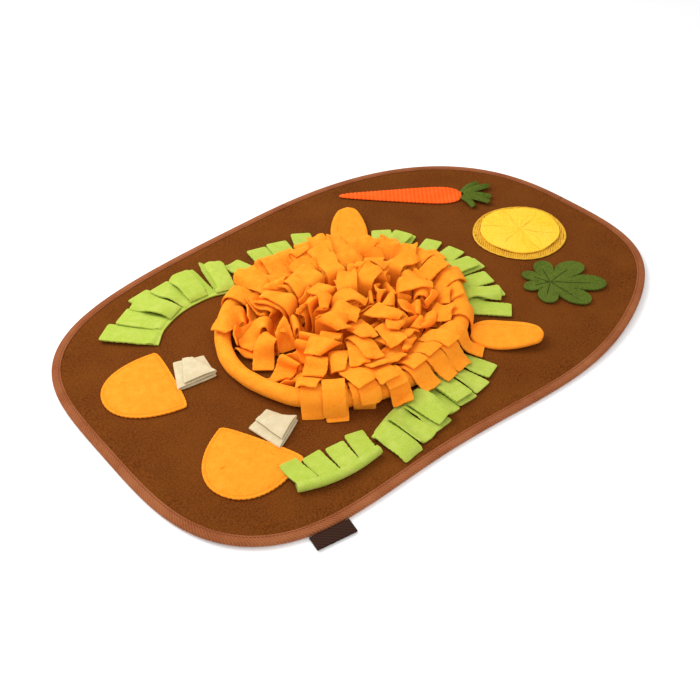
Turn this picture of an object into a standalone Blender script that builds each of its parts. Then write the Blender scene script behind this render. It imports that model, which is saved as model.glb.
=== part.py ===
"""Snuffle mat: a bound felt mat with a fleece ring, a heap of fleece strips, leaf-green
fringes and sewn-on vegetables.

The long side lies along X, the back edge is at +Y, and the mat rests on z = 0.
Sizes below are in millimetres; MM turns them into metres.
"""
import math

import bpy

MM = 0.001

# --- the mat and its binding -------------------------------------------------
HALF_LENGTH = 350.0
BACK_HALF_WIDTH = 232.0
BACK_TAPER = 0.08           # the back edge comes in towards the left
FRONT_HALF_WIDTH = 228.0
FRONT_WAVE = 8.0            # the front edge swings in on the left and out on the right
FRONT_WAVE_LENGTH = 450.0
CORNER_SQUARENESS = {"back_right": 2.35, "back_left": 3.7, "front_left": 3.8,
                     "front_right": 3.25}
EDGE_STATIONS = 60

MAT_THICK = 3.0
GAP = 0.3                   # between one piece and the next
BINDING_THICK = 1.2
BINDING_WIDTH = 11.5
BINDING_CHAMFER = 0.8
RISE_START = 30.0           # the mat climbs onto its binding over this strip of the edge
RISE_END = 15.0
MAT_RINGS = (0.55,)         # inner rings of the mat, as a share of the way out

# stretches of the edge that lie a little off the floor: direction, height, spread
EDGE_LIFTS = (
    {"direction": -38.0, "height": 3.0, "spread": 22.0},
    {"direction": 152.0, "height": 2.0, "spread": 16.0},
    {"direction": -152.0, "height": 1.4, "spread": 10.0},
)
LIFT_REACH = 36.0           # how far in from the edge a lift starts

# --- ring of padded tube round the heap -------------------------------------
RING_CENTRE = (-45.0, -8.0)
RING_LENGTH_RADIUS = 141.5
RING_WIDTH_RADIUS = 120.0
TUBE_RADIUS = 11.5
TUBE_SIDES = 8
TUBE_STATIONS = 40

# --- fleece strips -----------------------------------------------------------
FLEECE_THICK = 2.4
STRIP_WIDTH = 22.0
STRIP_PITCH = 25.0
MAT_TOP = MAT_THICK + GAP

# bands of upright strips inside the tube, from the outermost, sewn in three lengths, inwards
HEAP_BANDS = (
    {"name": "heap_outer_front", "length_radius": 117.0, "width_radius": 95.5, "top": 41.0,
     "reach": 34.0, "drop": 12.0, "phase": 0.0, "start": -148.0, "end": -52.5},
    {"name": "heap_outer_right", "length_radius": 117.0, "width_radius": 95.5, "top": 41.0,
     "reach": 34.0, "drop": 12.0, "phase": 0.4, "start": -51.0, "end": 43.0},
    {"name": "heap_outer_back", "length_radius": 117.0, "width_radius": 95.5, "top": 41.0,
     "reach": 34.0, "drop": 12.0, "phase": 0.8, "start": 44.5, "end": 140.0},
    {"name": "heap_band_second", "length_radius": 92.0, "width_radius": 72.0, "top": 47.5,
     "reach": 24.0, "drop": 8.0, "phase": 0.9, "start": -160.0, "end": 172.0},
    {"name": "heap_band_third", "length_radius": 67.0, "width_radius": 48.5, "top": 53.5,
     "reach": 24.0, "drop": 8.0, "phase": 1.8, "start": -172.0, "end": 172.0},
    {"name": "heap_band_inner", "length_radius": 41.0, "width_radius": 25.0, "top": 58.5,
     "reach": 23.0, "drop": 8.0, "phase": 2.7, "start": -172.0, "end": 160.0},
)
HEAP_CORE = {"name": "heap_core", "from": (-68.0, -4.0), "to": (-20.0, -6.0), "top": 60.0,
             "reach": 13.0, "drop": 4.0, "phase": 4.0}

# fringes outside the tube: direction where each starts and ends round the ring
FRINGES = (
    {"name": "fringe_back", "start": 66.0, "end": 103.0, "length": 42.0},
    {"name": "fringe_back_right", "start": 25.0, "end": 36.0, "length": 36.0},
    {"name": "fringe_right", "start": -38.0, "end": 18.0, "length": 38.0},
)
# fringes that leave the tube: behind the upper mushroom, and along the front
FREE_FRINGES = (
    {"name": "fringe_front", "length": 44.0,
     "path": ((20.0, -134.0), (-18.0, -142.0), (-60.0, -147.0), (-100.0, -154.0),
              (-134.0, -165.0))},
    {"name": "fringe_back_left", "length": 47.0,
     "path": ((-229.0, 103.0), (-207.0, 123.0), (-171.0, 137.0), (-131.0, 138.0),
              (-101.0, 127.0))},
)
# the fringe that folds up over the lower mushroom
FRINGE_FOLDED = {"name": "fringe_front_left", "length": 44.0,
                 "path": ((-146.0, -170.0), (-176.0, -171.0), (-206.0, -166.0),
                          (-234.0, -155.0))}
FRINGE_BAND = 7.0           # the uncut part that is sewn down

# --- mushrooms: caps and folded stems ---------------------------------------
CAP_WIDTH = 94.0
CAP_DEPTH = 70.0
CAP_BRIM = 7.0              # how far the brim bows back towards the stem
STEM_WIDTH = 36.0
STEM_FOLD = 2.7             # from one layer of the folded stem to the next
MUSHROOMS = (
    {"name": "upper", "ring_direction": 163.0, "lean": 168.0, "stem": 46.0},
    {"name": "lower", "ring_direction": 209.0, "lean": 204.0, "stem": 44.0},
)

# --- petals, carrot, leaf, citrus slice, tab --------------------------------
PETALS = (
    {"name": "petal_back", "ring_direction": 50.0, "lean": 52.0},
    {"name": "petal_front", "ring_direction": -52.0, "lean": -50.0},
)
PETAL_LENGTH = 78.0
PETAL_WIDTH = 46.0
PETAL_LIFT = 7.0

CARROT = {"tip": (124.0, 198.0), "heading": -40.0, "length": 165.0, "width": 52.0}
TUFT_LENGTH = 46.0
LEAF = {"place": (190.0, -112.0), "heading": -44.0, "radius": 60.0, "lobes": 7}
SLICE = {"place": (243.0, -18.0), "mesh_radius": 61.0, "flap_radius": 54.0}
SLICE_MESH_THICK = 1.5
FELT_THICK = 2.0
TAB = {"edge_direction": -138.0, "width": 41.0, "reach": 15.5, "layer": 1.0, "space": 0.4}


def srgb_to_linear(value):
    """Turn one sRGB channel, 0 to 1, into linear light."""
    if value <= 0.04045:
        return value / 12.92
    return ((value + 0.055) / 1.055) ** 2.4


def cloth(name, colour, roughness):
    """A dull cloth material; colour is a six-digit sRGB hex."""
    material = bpy.data.materials.new(name)
    material.use_nodes = True
    shader = material.node_tree.nodes["Principled BSDF"]
    channels = [srgb_to_linear(int(colour[i:i + 2], 16) / 255.0) for i in (0, 2, 4)]
    shader.inputs["Base Color"].default_value = (*channels, 1.0)
    shader.inputs["Roughness"].default_value = roughness
    shader.inputs["Metallic"].default_value = 0.0
    return material


def add_mesh(name, points, faces, material, smooth=True):
    """Make an object from points in millimetres and faces that point outwards."""
    mesh = bpy.data.meshes.new(name)
    mesh.from_pydata([(x * MM, y * MM, z * MM) for x, y, z in points], [], faces)
    mesh.update()
    if smooth:
        mesh.shade_smooth()
        mesh.set_sharp_from_angle(angle=math.radians(40.0))
    mesh.materials.append(material)
    piece = bpy.data.objects.new(name, mesh)
    bpy.context.scene.collection.objects.link(piece)
    return piece


def thicken(piece, thickness, offset):
    """Give an open sheet its thickness: offset 1 adds it above, 0 on both sides."""
    solid = piece.modifiers.new("thickness", "SOLIDIFY")
    solid.thickness = thickness * MM
    solid.offset = offset
    solid.use_even_offset = True
    return piece


def place(piece, location, heading):
    """Set a piece down at a place in millimetres, turned about Z."""
    piece.location = [value * MM for value in location]
    piece.rotation_euler = (0.0, 0.0, math.radians(heading))
    return piece


def ease(value):
    """Smooth step from 0 to 1."""
    value = min(1.0, max(0.0, value))
    return value * value * (3.0 - 2.0 * value)


def sway(index, phase, amount):
    """A small uneven amount that differs from one strip to the next."""
    return amount * math.sin(2.399 * index + phase)


# --- outlines and paths ------------------------------------------------------
def edge_curve(angle):
    """The mat's outline: a superellipse with its own squareness in each corner."""
    across = math.cos(angle)
    along = math.sin(angle)
    side = "right" if across >= 0.0 else "left"
    edge = "back" if along >= 0.0 else "front"
    power = 2.0 / CORNER_SQUARENESS[f"{edge}_{side}"]
    x = math.copysign(abs(across) ** power, across) * HALF_LENGTH
    depth = abs(along) ** power
    if along >= 0.0:
        return x, depth * BACK_HALF_WIDTH * (1.0 + BACK_TAPER * x / HALF_LENGTH)
    wave = FRONT_WAVE * math.sin(2.0 * math.pi * x / FRONT_WAVE_LENGTH)
    return x, -depth * FRONT_HALF_WIDTH - wave * depth * depth


def even_loop(curve, count, samples=2880):
    """Points at equal steps round a closed curve of one angle."""
    fine = [curve(2.0 * math.pi * i / samples) for i in range(samples + 1)]
    walked = [0.0]
    for a, b in zip(fine, fine[1:]):
        walked.append(walked[-1] + math.dist(a, b))
    points = []
    j = 0
    for i in range(count):
        target = walked[-1] * i / count
        while walked[j + 1] < target:
            j += 1
        share = (target - walked[j]) / (walked[j + 1] - walked[j])
        points.append(tuple(p + share * (q - p) for p, q in zip(fine[j], fine[j + 1])))
    return points


def outward_normals(points):
    """Unit normals of a closed counter-clockwise loop."""
    normals = []
    for i, _ in enumerate(points):
        before = points[i - 1]
        after = points[(i + 1) % len(points)]
        length = math.dist(before, after)
        normals.append(((after[1] - before[1]) / length, (before[0] - after[0]) / length))
    return normals


def ring_point(direction, length_radius, width_radius):
    """A point and its outward normal on an ellipse about the ring's centre."""
    angle = math.radians(direction)
    x = RING_CENTRE[0] + length_radius * math.cos(angle)
    y = RING_CENTRE[1] + width_radius * math.sin(angle)
    nx = math.cos(angle) / length_radius
    ny = math.sin(angle) / width_radius
    size = math.hypot(nx, ny)
    return (x, y), (nx / size, ny / size)


def ring_path(start, end, length_radius, width_radius, steps=720):
    """A fine run of points along part of such an ellipse, clockwise seen from above."""
    directions = [end + (start - end) * i / steps for i in range(steps + 1)]
    return [ring_point(d, length_radius, width_radius)[0] for d in directions]


def curved_path(corners, steps=60):
    """A smooth path through a few places (Catmull-Rom)."""
    ends = [tuple(2.0 * a - b for a, b in zip(corners[0], corners[1]))]
    ends += list(corners)
    ends.append(tuple(2.0 * a - b for a, b in zip(corners[-1], corners[-2])))
    path = []
    for p0, p1, p2, p3 in zip(ends, ends[1:], ends[2:], ends[3:]):
        for i in range(steps):
            t = i / steps
            path.append(tuple(
                0.5 * (2.0 * b + (c - a) * t + (2.0 * a - 5.0 * b + 4.0 * c - d) * t * t
                       + (3.0 * b - a - 3.0 * c + d) * t ** 3)
                for a, b, c, d in zip(p0, p1, p2, p3)))
    path.append(corners[-1])
    return path


class Walk:
    """Places at a distance along a path, with the normal to its left."""

    def __init__(self, path):
        self.path = path
        self.walked = [0.0]
        for a, b in zip(path, path[1:]):
            self.walked.append(self.walked[-1] + math.dist(a, b))
        self.length = self.walked[-1]

    def at(self, distance):
        distance = min(max(distance, 0.0), self.length)
        j = 0
        while j < len(self.path) - 2 and self.walked[j + 1] < distance:
            j += 1
        a, b = self.path[j], self.path[j + 1]
        step = self.walked[j + 1] - self.walked[j]
        share = (distance - self.walked[j]) / step
        spot = (a[0] + share * (b[0] - a[0]), a[1] + share * (b[1] - a[1]))
        normal = (-(b[1] - a[1]) / step, (b[0] - a[0]) / step)
        return spot, normal


def edge_lift(station, inset):
    """How far the mat lies off the floor, some way in from a station of its edge."""
    direction = math.degrees(math.atan2(EDGE[station][1], EDGE[station][0]))
    near = ease(1.0 - inset / LIFT_REACH)
    height = 0.0
    for stretch in EDGE_LIFTS:
        away = (direction - stretch["direction"] + 180.0) % 360.0 - 180.0
        height += stretch["height"] * math.exp(-(away / stretch["spread"]) ** 2)
    return height * near


# --- mat, binding, tab -------------------------------------------------------
EDGE = even_loop(edge_curve, EDGE_STATIONS)
EDGE_NORMALS = outward_normals(EDGE)


def edge_ring(inset):
    """The outline moved in by a distance."""
    return [(x - nx * inset, y - ny * inset)
            for (x, y), (nx, ny) in zip(EDGE, EDGE_NORMALS)]


def build_mat(material):
    """The felt: flat below, climbing onto the lower leg of the binding at its edge."""
    cut = BINDING_THICK + GAP
    rise = BINDING_THICK + GAP
    insets = (cut, RISE_END, RISE_START, LIFT_REACH)
    heights = (rise, rise, 0.0, 0.0)
    points = [(0.0, 0.0, 0.0)]
    inner = edge_ring(LIFT_REACH)
    for share in MAT_RINGS:
        points += [(x * share, y * share, 0.0) for x, y in inner]
    for inset, height in zip(reversed(insets), reversed(heights)):
        points += [(x, y, height + edge_lift(station, inset))
                   for station, (x, y) in enumerate(edge_ring(inset))]
    rings = len(MAT_RINGS) + len(insets)
    count = EDGE_STATIONS
    faces = [(0, 1 + i, 1 + (i + 1) % count) for i in range(count)]
    for ring in range(rings - 1):
        low = 1 + ring * count
        high = low + count
        for i in range(count):
            j = (i + 1) % count
            faces.append((low + i, high + i, high + j, low + j))
    return thicken(add_mesh("mat", points, faces, material), MAT_THICK, 1.0)


def build_binding(material):
    """Tape folded round the edge: a C section carried round the outline."""
    top = 2.0 * (BINDING_THICK + GAP) + MAT_THICK
    wall = BINDING_THICK
    nick = BINDING_CHAMFER
    section = (
        (BINDING_WIDTH, top), (nick, top), (0.0, top - nick), (0.0, nick), (nick, 0.0),
        (BINDING_WIDTH, 0.0), (BINDING_WIDTH, wall), (wall, wall),
        (wall, top - wall), (BINDING_WIDTH, top - wall),
    )
    points = []
    for station, ((x, y), (nx, ny)) in enumerate(zip(EDGE, EDGE_NORMALS)):
        for inset, height in section:
            points.append((x - nx * inset, y - ny * inset, height + edge_lift(station, inset)))
    sides = len(section)
    faces = []
    for i in range(EDGE_STATIONS):
        j = (i + 1) % EDGE_STATIONS
        for k in range(sides):
            m = (k + 1) % sides
            faces.append((i * sides + k, i * sides + m, j * sides + m, j * sides + k))
    return add_mesh("binding", points, faces, material)


def folded_strip(name, route, half_widths, thickness, material):
    """Cloth folded back and forth: a route of (along, height) carried across its width."""
    points = []
    for (along, height), half in zip(route, half_widths):
        points += [(along, share * half, height) for share in (-1.0, 0.0, 1.0)]
    faces = []
    for row in range(len(route) - 1):
        for column in range(2):
            a = row * 3 + column
            faces.append((a, a + 3, a + 4, a + 1))
    return thicken(add_mesh(name, points, faces, material), thickness, 0.0)


def build_tab(material):
    """A blank ribbon loop caught under the front edge: two layers and their fold."""
    layer, reach = TAB["layer"], TAB["reach"]
    low = 1.2
    high = low + layer + TAB["space"]
    round_off = 0.6
    route = ((0.0, high), (reach - round_off, high), (reach, (low + high) / 2.0),
             (reach - round_off, low), (0.0, low))
    half = TAB["width"] / 2.0
    tab = folded_strip("tab", route, [half] * len(route), layer, material)
    (x, y), normal = min(
        zip(EDGE, EDGE_NORMALS),
        key=lambda spot: abs(math.degrees(math.atan2(spot[0][1], spot[0][0]))
                             - TAB["edge_direction"]))
    heading = math.degrees(math.atan2(normal[1], normal[0]))
    clear = GAP
    return place(tab, (x + normal[0] * clear, y + normal[1] * clear, 0.0), heading)


# --- ring tube and combs of strips ------------------------------------------
def build_ring_tube(material):
    """A padded tube sewn down in a ring, a little flat underneath."""
    points = []
    for station in range(TUBE_STATIONS):
        direction = 360.0 * station / TUBE_STATIONS
        (x, y), (nx, ny) = ring_point(direction, RING_LENGTH_RADIUS, RING_WIDTH_RADIUS)
        for side in range(TUBE_SIDES):
            turn = 2.0 * math.pi * (side + 0.5) / TUBE_SIDES
            out = TUBE_RADIUS * math.cos(turn)
            up = TUBE_RADIUS * (1.0 + math.sin(turn) / math.cos(math.pi / TUBE_SIDES))
            points.append((x + nx * out, y + ny * out, MAT_TOP + up))
    faces = []
    for i in range(TUBE_STATIONS):
        j = (i + 1) % TUBE_STATIONS
        for k in range(TUBE_SIDES):
            m = (k + 1) % TUBE_SIDES
            faces.append((i * TUBE_SIDES + k, j * TUBE_SIDES + k,
                          j * TUBE_SIDES + m, i * TUBE_SIDES + m))
    return add_mesh("ring_tube", points, faces, material)


def comb(name, path, profile_of, material, width=STRIP_WIDTH, pitch=STRIP_PITCH,
         thickness=FLEECE_THICK):
    """One fringe: an uncut band along a path, cut into strips past its first step.

    profile_of(strip) lists (outward, height) from the sewn edge to the strip's end.
    """
    walk = Walk(path)
    count = max(1, round((walk.length - width) / pitch) + 1)
    spacing = (walk.length - width) / max(1, count - 1)
    points = []
    faces = []
    previous = None
    for strip in range(count):
        start = strip * spacing
        profile = profile_of(strip)
        _, middle = walk.at(start + width / 2.0)
        for distance in (start, start + width):
            (x, y), (nx, ny) = walk.at(distance)
            (out0, up0), (out1, up1) = profile[:2]
            points.append((x + nx * out0, y + ny * out0, up0))
            bend = (x + nx * out1, y + ny * out1)
            points.append((*bend, up1))
            for out, up in profile[2:]:
                points.append((bend[0] + middle[0] * (out - out1),
                               bend[1] + middle[1] * (out - out1), up))
        rows = len(profile)
        left = len(points) - 2 * rows
        right = left + rows
        if previous is not None:
            faces.append((previous, left, left + 1, previous + 1))
        for row in range(rows - 1):
            faces.append((left + row, right + row, right + row + 1, left + row + 1))
        previous = right
    return thicken(add_mesh(name, points, faces, material), thickness, 0.0)


def heap_profile(band):
    """Strips that stand up from their band and flop outwards."""
    phase = band["phase"]

    def profile(strip):
        reach = band["reach"] * (1.0 + sway(strip, phase, 0.10))
        peak = band["top"] + sway(strip, phase + 1.3, 2.0)
        return ((0.0, MAT_TOP), (0.0, MAT_TOP + 9.0), (0.05 * reach, peak - 11.0),
                (0.35 * reach, peak - 1.5), (0.70 * reach, peak - 2.0),
                (reach, peak - band["drop"]))
    return profile


def fringe_profile(length, phase):
    """Strips that lie outwards on the mat with a slight spring in them."""
    seat = MAT_TOP + FLEECE_THICK / 2.0

    def profile(strip):
        reach = length + sway(strip, phase, 3.0)
        spring = 6.0 + sway(strip, phase + 2.0, 2.5)
        return ((0.0, seat), (FRINGE_BAND, seat + 0.6), (0.35 * reach, seat + spring),
                (0.75 * reach, seat + spring + 1.0), (reach, seat + 1.5))
    return profile


def folded_fringe_profile(length):
    """Strips that fold back over their own band and lie the other way."""
    seat = MAT_TOP + FLEECE_THICK / 2.0

    def profile(strip):
        reach = length + sway(strip, 0.6, 3.0)
        return ((0.0, seat), (-FRINGE_BAND, seat + 3.0), (-0.3 * reach, seat + 7.5),
                (-0.7 * reach, seat + 9.0), (-reach, seat + 8.0))
    return profile


def build_heap(material):
    """The heap: bands of strips, one inside the other, and a short core band."""
    for band in HEAP_BANDS:
        path = ring_path(band["start"], band["end"], band["length_radius"], band["width_radius"])
        comb(band["name"], path, heap_profile(band), material)
    core = [HEAP_CORE["to"], HEAP_CORE["from"]]
    comb(HEAP_CORE["name"], core, heap_profile(HEAP_CORE), material)


def build_fringes(material):
    """Green fringes outside the tube, and the two at the mushrooms."""
    clear = TUBE_RADIUS + 1.0
    for number, fringe in enumerate(FRINGES):
        path = ring_path(fringe["start"], fringe["end"], RING_LENGTH_RADIUS + clear,
                         RING_WIDTH_RADIUS + clear)
        comb(fringe["name"], path, fringe_profile(fringe["length"], 1.7 * number), material)
    for number, fringe in enumerate(FREE_FRINGES):
        comb(fringe["name"], curved_path(fringe["path"]),
             fringe_profile(fringe["length"], 0.4 + number), material)
    comb(FRINGE_FOLDED["name"], curved_path(FRINGE_FOLDED["path"]),
         folded_fringe_profile(FRINGE_FOLDED["length"]), material)


# --- flat pieces -------------------------------------------------------------
def flat_sheet(name, outline, thickness, crown, material, rings=(0.5, 0.86)):
    """A sheet cut to an outline about its own middle, with a slight crown."""
    count = len(outline)
    points = [(0.0, 0.0, crown)]
    for share in (*rings, 1.0):
        height = crown * (1.0 - share ** 2)
        points += [(x * share, y * share, height) for x, y in outline]
    faces = [(0, 1 + i, 1 + (i + 1) % count) for i in range(count)]
    for ring in range(len(rings)):
        low = 1 + ring * count
        high = low + count
        for i in range(count):
            j = (i + 1) % count
            faces.append((low + i, high + i, high + j, low + j))
    return thicken(add_mesh(name, points, faces, material), thickness, 1.0)


def cap_outline(steps=24):
    """A mushroom cap seen from the side: a half dome on a bowed brim, tip along +X."""
    half = CAP_WIDTH / 2.0
    middle = CAP_DEPTH * 0.42
    points = []
    for i in range(steps):
        angle = 2.0 * math.pi * i / steps
        across = math.sin(angle)
        along = math.cos(angle)
        if along >= 0.0:
            x = CAP_DEPTH * abs(along) ** 0.9
            y = half * math.copysign(abs(across) ** 0.92, across)
        else:
            x = -CAP_BRIM * abs(along) ** 0.5
            y = half * math.copysign(abs(across) ** 0.72, across)
        points.append((x - middle, y))
    return points, middle


def build_mushrooms(cap_cloth, stem_cloth):
    """Two caps beyond the tube, each on a stem folded from one strip."""
    for mushroom in MUSHROOMS:
        reach = TUBE_RADIUS + 1.0
        (x, y), _ = ring_point(mushroom["ring_direction"], RING_LENGTH_RADIUS + reach,
                               RING_WIDTH_RADIUS + reach)
        lean = math.radians(mushroom["lean"])
        ahead = (math.cos(lean), math.sin(lean))
        first = 7.0
        last = mushroom["stem"]
        seat = STEM_FOLD / 2.0
        route = [(first, seat - 0.35), (last - 1.0, seat - 0.35), (last, seat + 1.0),
                 (last - 1.0, seat + STEM_FOLD), (first + 7.0, seat + STEM_FOLD),
                 (first + 6.0, seat + 1.5 * STEM_FOLD), (first + 7.0, seat + 2.0 * STEM_FOLD),
                 (last - 9.0, seat + 2.0 * STEM_FOLD)]
        half = STEM_WIDTH / 2.0
        halves = [half * share for share in (1.0, 1.12, 1.12, 1.1, 0.94, 0.92, 0.9, 1.0)]
        stem = folded_strip(f"stem_{mushroom['name']}", route, halves, 2.0, stem_cloth)
        place(stem, (x, y, MAT_TOP), mushroom["lean"])
        outline, middle = cap_outline()
        cap = flat_sheet(f"cap_{mushroom['name']}", outline, FLEECE_THICK, 3.0, cap_cloth)
        away = last + CAP_BRIM + 2.0 + middle
        place(cap, (x + ahead[0] * away, y + ahead[1] * away, MAT_TOP), mushroom["lean"])


def build_petals(material):
    """Petals folded once along their length: two layers joined by the fold."""
    steps = 9
    seat = MAT_TOP + FLEECE_THICK / 2.0 + 0.35
    layers = FLEECE_THICK + 0.8
    for petal in PETALS:
        reach = TUBE_RADIUS + 1.0
        (x, y), _ = ring_point(petal["ring_direction"], RING_LENGTH_RADIUS + reach,
                               RING_WIDTH_RADIUS + reach)
        points = []
        for i in range(steps + 1):
            t = i / steps
            half = PETAL_WIDTH / 2.0 * (0.30 + 0.70 * math.sin(math.pi * t ** 0.8) ** 0.7)
            if i == steps:
                half = PETAL_WIDTH * 0.16
            along = 2.0 + PETAL_LENGTH * t
            lift = PETAL_LIFT * ease((t - 0.35) / 0.65)
            for share, level in ((0.82, 0.0), (0.0, 0.0), (-0.95, 0.0), (-1.0, 0.5),
                                 (-0.95, 1.0), (0.0, 1.25), (1.0, 1.0)):
                points.append((along, half * share, lift + level * layers))
        columns = 7
        faces = []
        for i in range(steps):
            for k in range(columns - 1):
                a = i * columns + k
                faces.append((a, a + 1, a + columns + 1, a + columns))
        sheet = add_mesh(petal["name"], points, faces, material)
        thicken(sheet, FLEECE_THICK, 0.0)
        place(sheet, (x, y, seat), petal["lean"])


def build_carrot(body_cloth, tuft_cloth):
    """The root points back and left, its tuft of folded felt lies at the shoulder."""
    heading = math.radians(CARROT["heading"])
    length = CARROT["length"]
    half = CARROT["width"] / 2.0
    steps = 14
    upper = []
    for i in range(steps + 1):
        t = 0.5 - 0.5 * math.cos(math.pi * i / steps)
        root = t ** 0.42 * (0.55 + 0.45 * t)
        shoulder = (1.0 - t ** 9) ** 0.5
        upper.append((length * (t - 0.5), half * root * shoulder))
    lower = [(x, -y) for x, y in reversed(upper[1:-1])]
    outline = list(reversed(upper)) + list(reversed(lower))
    body = flat_sheet("carrot_body", outline, FLEECE_THICK, 1.2, body_cloth, rings=(0.55,))
    middle = (CARROT["tip"][0] + math.cos(heading) * length / 2.0,
              CARROT["tip"][1] + math.sin(heading) * length / 2.0)
    place(body, (*middle, MAT_TOP), CARROT["heading"])

    seat = FELT_THICK / 2.0
    bunch = 9.0
    path = [(bunch * math.cos(math.radians(a)), bunch * math.sin(math.radians(a)))
            for a in range(75, -76, -5)]

    def blade(strip):
        reach = TUFT_LENGTH - bunch + sway(strip, 0.3, 3.5)
        return ((0.0, seat), (4.0, seat + 0.6), (0.5 * reach, seat + 5.0 + strip % 2),
                (reach, seat + 3.0))
    tuft = comb("carrot_tuft", path, blade, tuft_cloth, width=6.5, pitch=7.6,
                thickness=FELT_THICK)
    away = length / 2.0 - 3.0
    place(tuft, (middle[0] + math.cos(heading) * away, middle[1] + math.sin(heading) * away,
                 MAT_TOP), CARROT["heading"])


def build_leaf(material):
    """A felt leaf with rounded lobes on both sides of its rib."""
    steps = 63
    outline = []
    for i in range(steps):
        angle = 2.0 * math.pi * i / steps
        lobe = abs(math.cos(LEAF["lobes"] * angle / 2.0)) ** 0.55
        reach = LEAF["radius"] * (0.46 + 0.54 * lobe) * (0.76 + 0.24 * math.cos(angle))
        outline.append((1.10 * reach * math.cos(angle), 0.95 * reach * math.sin(angle)))
    leaf = flat_sheet("leaf", outline, FELT_THICK, 0.8, material, rings=(0.45,))
    return place(leaf, (*LEAF["place"], MAT_TOP), LEAF["heading"])


def build_slice(mesh_cloth, flap_cloth):
    """A citrus slice: a mesh disc sewn down, with a loose round flap over it."""
    steps = 28

    def disc(radius, wobble, phase):
        outline = []
        for i in range(steps):
            angle = 2.0 * math.pi * i / steps
            reach = radius * (1.0 + wobble * math.sin(3.0 * angle + phase)
                              + 0.6 * wobble * math.sin(5.0 * angle))
            outline.append((reach * math.cos(angle), 0.93 * reach * math.sin(angle)))
        return outline

    x, y = SLICE["place"]
    mesh = flat_sheet("slice_mesh", disc(SLICE["mesh_radius"], 0.012, 0.4), SLICE_MESH_THICK,
                      0.0, mesh_cloth, rings=(0.6,))
    place(mesh, (x, y, MAT_TOP), 0.0)
    flap = flat_sheet("slice_flap", disc(SLICE["flap_radius"], 0.008, 2.0), FELT_THICK,
                      1.6, flap_cloth, rings=(0.55,))
    place(flap, (x + 2.0, y + 1.5, MAT_TOP + SLICE_MESH_THICK + GAP), 0.0)


def main():
    for piece in list(bpy.data.objects):
        bpy.data.objects.remove(piece)
    brown_felt = cloth("brown_felt", "743E1A", 0.95)
    binding_tape = cloth("binding_tape", "A05C38", 0.85)
    orange_fleece = cloth("orange_fleece", "FCA02C", 0.95)
    green_fleece = cloth("green_fleece", "C2D652", 0.95)
    cream_canvas = cloth("cream_canvas", "ECDDB8", 0.90)
    corduroy = cloth("orange_corduroy", "F96921", 0.90)
    dark_felt = cloth("dark_green_felt", "5E6B25", 0.95)
    yellow_felt = cloth("yellow_felt", "FCD23F", 0.90)
    yellow_mesh = cloth("yellow_mesh", "E0AA31", 0.80)
    ribbon = cloth("ribbon", "3A211C", 0.70)

    build_mat(brown_felt)
    build_binding(binding_tape)
    build_tab(ribbon)
    build_ring_tube(orange_fleece)
    build_heap(orange_fleece)
    build_fringes(green_fleece)
    build_mushrooms(orange_fleece, cream_canvas)
    build_petals(orange_fleece)
    build_carrot(corduroy, dark_felt)
    build_leaf(dark_felt)
    build_slice(yellow_mesh, yellow_felt)


main()
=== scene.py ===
import math

import bpy
import numpy as np
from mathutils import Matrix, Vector


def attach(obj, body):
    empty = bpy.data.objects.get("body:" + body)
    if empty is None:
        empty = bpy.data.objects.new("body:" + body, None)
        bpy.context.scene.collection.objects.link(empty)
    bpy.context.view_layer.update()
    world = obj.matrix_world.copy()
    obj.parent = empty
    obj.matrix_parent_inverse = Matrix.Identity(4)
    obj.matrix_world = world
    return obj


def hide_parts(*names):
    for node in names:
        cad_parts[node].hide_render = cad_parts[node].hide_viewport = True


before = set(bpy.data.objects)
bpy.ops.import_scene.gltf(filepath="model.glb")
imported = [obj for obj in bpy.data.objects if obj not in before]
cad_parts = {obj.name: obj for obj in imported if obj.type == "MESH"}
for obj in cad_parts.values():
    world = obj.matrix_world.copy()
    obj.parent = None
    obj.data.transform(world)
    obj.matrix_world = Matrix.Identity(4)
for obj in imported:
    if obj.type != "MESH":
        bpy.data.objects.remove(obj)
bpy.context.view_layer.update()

# =============================================================================
# The view. The mat lies on white paper, seen from the front left from a little
# over forty degrees above, under broad soft light from the upper left.
# =============================================================================
MM = 0.001                     # places and shapes are worked out in millimetres
PHOTO_PIXELS, FOCAL_PIXELS = 700.0, 900.0      # from the mat's outline in the photo
SENSOR_WIDTH, CLIP_END = 36.0, 50.0
VIEW_TURN, VIEW_RISE = math.radians(-40.99), math.radians(41.69)
VIEW_DISTANCE, VIEW_TARGET = 988.9, np.array((-66.36, -43.20, 0.0))
LAMPS = (
    # name, place, size, watts
    ("window", (-440.0, 800.0, 1050.0), 800.0, 12.4),
    ("fill", (-650.0, -950.0, 1150.0), 1300.0, 5.2),
)
ROOM_LIGHT = 0.80              # strength of the white room round the mat
PAPER_GLOW = 0.02              # a little light of its own keeps the paper white
PAPER_HALF, PAPER_DROP = 6000.0, 0.3   # the paper lies just under the mat


def linear(colour):
    """A six-digit sRGB hex as linear red, green, blue and alpha."""
    channels = np.array([int(colour[i:i + 2], 16) for i in (0, 2, 4)]) / 255.0
    bent = np.where(channels <= 0.04045, channels / 12.92, ((channels + 0.055) / 1.055) ** 2.4)
    return (*bent.tolist(), 1.0)


def node(tree, kind, values=None, **settings):
    """Add a shader node: settings are its properties, values its inputs or their links."""
    made = tree.nodes.new("ShaderNode" + kind)
    for key, value in settings.items():
        setattr(made, key, value)
    for key, value in (values or {}).items():
        if isinstance(value, bpy.types.NodeSocket):
            tree.links.new(value, made.inputs[key])
        else:
            made.inputs[key].default_value = value
    return made


def new_material(name, values):
    """A material, its node tree and its shader, with values for the shader's inputs."""
    material = bpy.data.materials.new(name)
    material.use_nodes = True
    shader = material.node_tree.nodes["Principled BSDF"]
    for socket, value in values.items():
        shader.inputs[socket].default_value = value
    return material, material.node_tree, shader


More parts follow.
